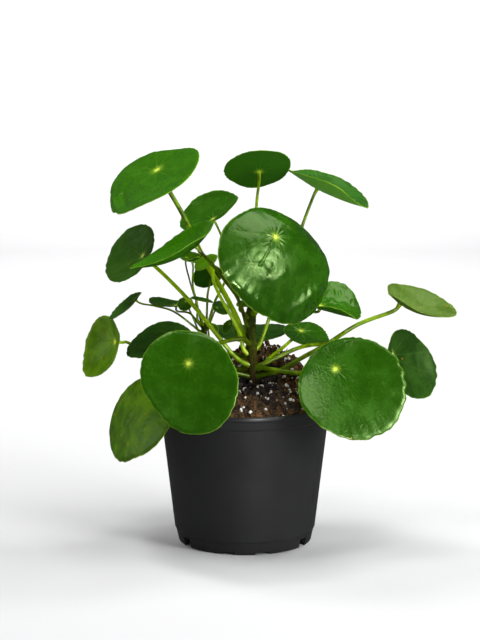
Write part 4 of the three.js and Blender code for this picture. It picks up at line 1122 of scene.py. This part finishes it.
def stalkTree():
    # a tube along the path, thicker where it leaves the stem and where it meets the blade
    tree, given, result = newTree("fleshyStalk", [
        ("Path", "Geometry"), ("Radius", "Float"), ("Steps", "Int"), ("Sides", "Int"),
        ("Foot Swell", "Float"), ("Foot Reach", "Float"), ("Neck Swell", "Float"), ("Neck Reach", "Float"),
        ("Material", "Material")])
    curve = addNode(tree, "GeometryNodeMeshToCurve", {"Mesh": given["Path"]})
    path = addNode(tree, "GeometryNodeResampleCurve", {"Curve": curve.outputs[0], "Count": given["Steps"]})
    place = addNode(tree, "GeometryNodeSplineParameter")
    length = addNode(tree, "GeometryNodeSplineLength")
    left = addNode(tree, "ShaderNodeMath", {0: length.outputs["Length"], 1: place.outputs["Length"]},
                   operation="SUBTRACT").outputs[0]
    thick, thinner = stalk["taper"]
    radius = addNode(tree, "ShaderNodeMath", {0: place.outputs["Factor"], 1: thinner, 2: thick},
                     operation="MULTIPLY_ADD").outputs[0]
    # the swelling dies away from each end as exp(-way / reach)
    for way, reach, swell in ((place.outputs["Length"], "Foot Reach", "Foot Swell"),
                              (left, "Neck Reach", "Neck Swell")):
        share = addNode(tree, "ShaderNodeMath", {0: way, 1: given[reach]}, operation="DIVIDE").outputs[0]
        fall = addNode(tree, "ShaderNodeMath", {0: share, 1: -1}, operation="MULTIPLY").outputs[0]
        near = addNode(tree, "ShaderNodeMath", {0: fall}, operation="EXPONENT").outputs[0]
        radius = addNode(tree, "ShaderNodeMath", {0: near, 1: given[swell], 2: radius},
                         operation="MULTIPLY_ADD").outputs[0]
    radius = addNode(tree, "ShaderNodeMath", {0: radius, 1: given["Radius"]},
                     operation="MULTIPLY").outputs[0]
    marked = addNode(tree, "GeometryNodeStoreNamedAttribute", {
        "Geometry": path.outputs[0], "Name": "along", "Value": place.outputs["Factor"]},
        data_type="FLOAT", domain="POINT")
    section = addNode(tree, "GeometryNodeCurvePrimitiveCircle", {
        "Resolution": given["Sides"], "Radius": 1.0})
    tube = addNode(tree, "GeometryNodeCurveToMesh", {
        "Curve": marked.outputs[0], "Profile Curve": section.outputs[0], "Scale": radius,
        "Fill Caps": True})
    soft = addNode(tree, "GeometryNodeSetShadeSmooth", {"Geometry": tube.outputs[0]})
    whole = addNode(tree, "GeometryNodeRealizeInstances", {0: soft.outputs[0]})
    dressed = addNode(tree, "GeometryNodeSetMaterial", {
        "Geometry": whole.outputs[0], "Material": given["Material"]})
    tree.links.new(dressed.outputs[0], result.inputs[0])
    return tree


def stemCentre(stem, z):
    # the middle of the stem at this height
    points = stem["points"]
    upper = next(i for i in range(1, len(points)) if points[i][2] >= z)
    low, high = np.array(points[upper - 1], float), np.array(points[upper], float)
    return low + (high - low) * (z - low[2]) / (high[2] - low[2])


def stalkPath(leaf, thickness):
    # square out of the stem, a bend upward, the leaf's own points, and into the blade from below
    stem = stems[leaf["stem"]]
    centre = stemCentre(stem, leaf["root"])
    out = np.array(leaf["via"][0], float) - centre
    out[2] = 0
    out /= np.linalg.norm(out)
    reach = stem["radius"] + 0.6 + 0.1 * leaf["grip"]
    start = centre + out * reach
    away = np.array(leaf["via"][0], float) - start
    steep = min(2.0, max(0.0, away[2] / np.hypot(away[0], away[1])))
    bend = start + out * (1.4 + 0.7 * leaf["grip"]) + np.array((0, 0, 0.4 + 1.3 * steep))
    normal, tip, _ = bladeAxes(leaf)
    slope = -2 * leaf["cup"] * leaf["offset"] / leaf["radius"]
    under = tip * slope - normal
    under /= np.linalg.norm(under)
    hub = np.array(leaf["hub"], float)
    neck = hub + under * (3 + 2 * leaf["grip"])
    end = hub + under * (thickness / 2 + blade["hubDip"] - 0.2)
    inner = centre + out * (stem["radius"] - 0.5) - np.array((0, 0, 0.7 * steep))
    via = [point for point in leaf["via"] if np.linalg.norm(neck - np.array(point)) > stalk["neckClear"]]
    return curvePoints([inner, start, bend, *via, neck, end], stalk["pathPoints"])


def stalkMaterial():
    # Fleshy leaf stalk: smooth, half translucent rind with a fine grain, bright yellow-green where
    # young and olive to brown where it ages.
    material, tree, shader = newMaterial("fleshyStalk", {
        "Roughness": stalk["roughness"], "IOR": 1.42, "Specular Tint": linearColour(stalk["sheen"]),
        "Subsurface Weight": 0.1, "Subsurface Radius": (0.6, 1.0, 0.2), "Subsurface Scale": 0.0015})
    # patches about 11 mm across, and a grain of 0.7 mm
    place = addNode(tree, "ShaderNodeTexCoord").outputs["Object"]
    along = addNode(tree, "ShaderNodeAttribute", attribute_name="along").outputs["Fac"]
    tone = addNode(tree, "ShaderNodeAttribute", attribute_name="tone").outputs["Fac"]
    patch = addNode(tree, "ShaderNodeTexNoise", {"Vector": place, "Scale": 90, "Detail": 3, "Roughness": 0.6})
    drift = addNode(tree, "ShaderNodeMapRange", {
        "Value": patch.outputs["Fac"], "From Min": 0.3, "From Max": 0.7, "To Min": -0.22, "To Max": 0.22})
    level = addNode(tree, "ShaderNodeMath", {0: tone, 1: drift.outputs[0]}, operation="ADD", use_clamp=True)
    ramp = addNode(tree, "ShaderNodeValToRGB", {"Fac": level.outputs[0]})
    elements = ramp.color_ramp.elements
    elements[0].color = linearColour(stalk["dark"])
    elements[1].color = linearColour(stalk["bright"])
    elements.new(0.45).color = linearColour(stalk["olive"])
    neck = addNode(tree, "ShaderNodeMapRange", {
        "Value": along, "From Min": 0.93, "From Max": 1.0, "To Max": 0.8})
    flesh = addNode(tree, "ShaderNodeMix", {
        0: neck.outputs[0], 6: ramp.outputs["Color"], 7: linearColour(stalk["neck"])}, data_type="RGBA")
    tree.links.new(flesh.outputs[2], shader.inputs["Base Color"])
    grain = addNode(tree, "ShaderNodeTexNoise", {"Vector": place, "Scale": 1400, "Detail": 2})
    relief = addNode(tree, "ShaderNodeBump", {
        "Height": grain.outputs["Fac"], "Strength": 0.3, "Distance": 0.0001})
    tree.links.new(relief.outputs[0], shader.inputs["Normal"])
    return material


def makeStalk(leaf, name, tree, material, thickness):
    path = stalkPath(leaf, thickness)
    length = np.linalg.norm(np.diff(path, axis=0), axis=1).sum()
    piece = newObject(name, path, edges=[(i, i + 1) for i in range(len(path) - 1)])
    bake(piece, tree, {
        "Radius": leaf["grip"] * mm, "Steps": max(10, round(length / stalk["stepLength"])),
        "Sides": stalk["sides"], "Foot Swell": stalk["footSwell"], "Foot Reach": stalk["footReach"] * mm,
        "Neck Swell": stalk["neckSwell"], "Neck Reach": stalk["neckReach"] * mm, "Material": material})
    along = np.array([value.value for value in piece.data.attributes["along"].data])
    foot = leaf.get("stalkFoot", leaf["stalk"])
    addAttribute(piece, "tone", foot + (leaf["stalk"] - foot) * along)
    return piece


finishes = {slot: bladeMaterial(look) for slot, look in bladeFinishes.items()}
stalkFlesh = stalkMaterial()
tubeTree = stalkTree()
for leaf in leaves:
    slot = leaf["finish"]
    material = finishes[leaf.get("look", slot)]
    piece = makeBlade(leaf, "leaf_" + leaf["name"], material, blade["thickness"], blade["large"])
    keepPiece(piece, slot, "blade_" + leaf["name"])
    piece = makeStalk(leaf, "stalk_" + leaf["name"], tubeTree, stalkFlesh, blade["thickness"])
    keepPiece(piece, "petiole", "petiole_" + leaf["name"])
print("leaves opened")
for leaf in youngLeaves:
    node = "leaf_" + leaf["name"]
    piece = makeBlade(leaf, "blade_" + leaf["name"], finishes["young"], blade["smallThickness"],
                      blade["young"])
    keepPiece(piece, "blade", node)
    piece = makeStalk(leaf, "stalk_" + leaf["name"], tubeTree, stalkFlesh, blade["smallThickness"])
    keepPiece(piece, "petiole", node)
print("young leaves opened")
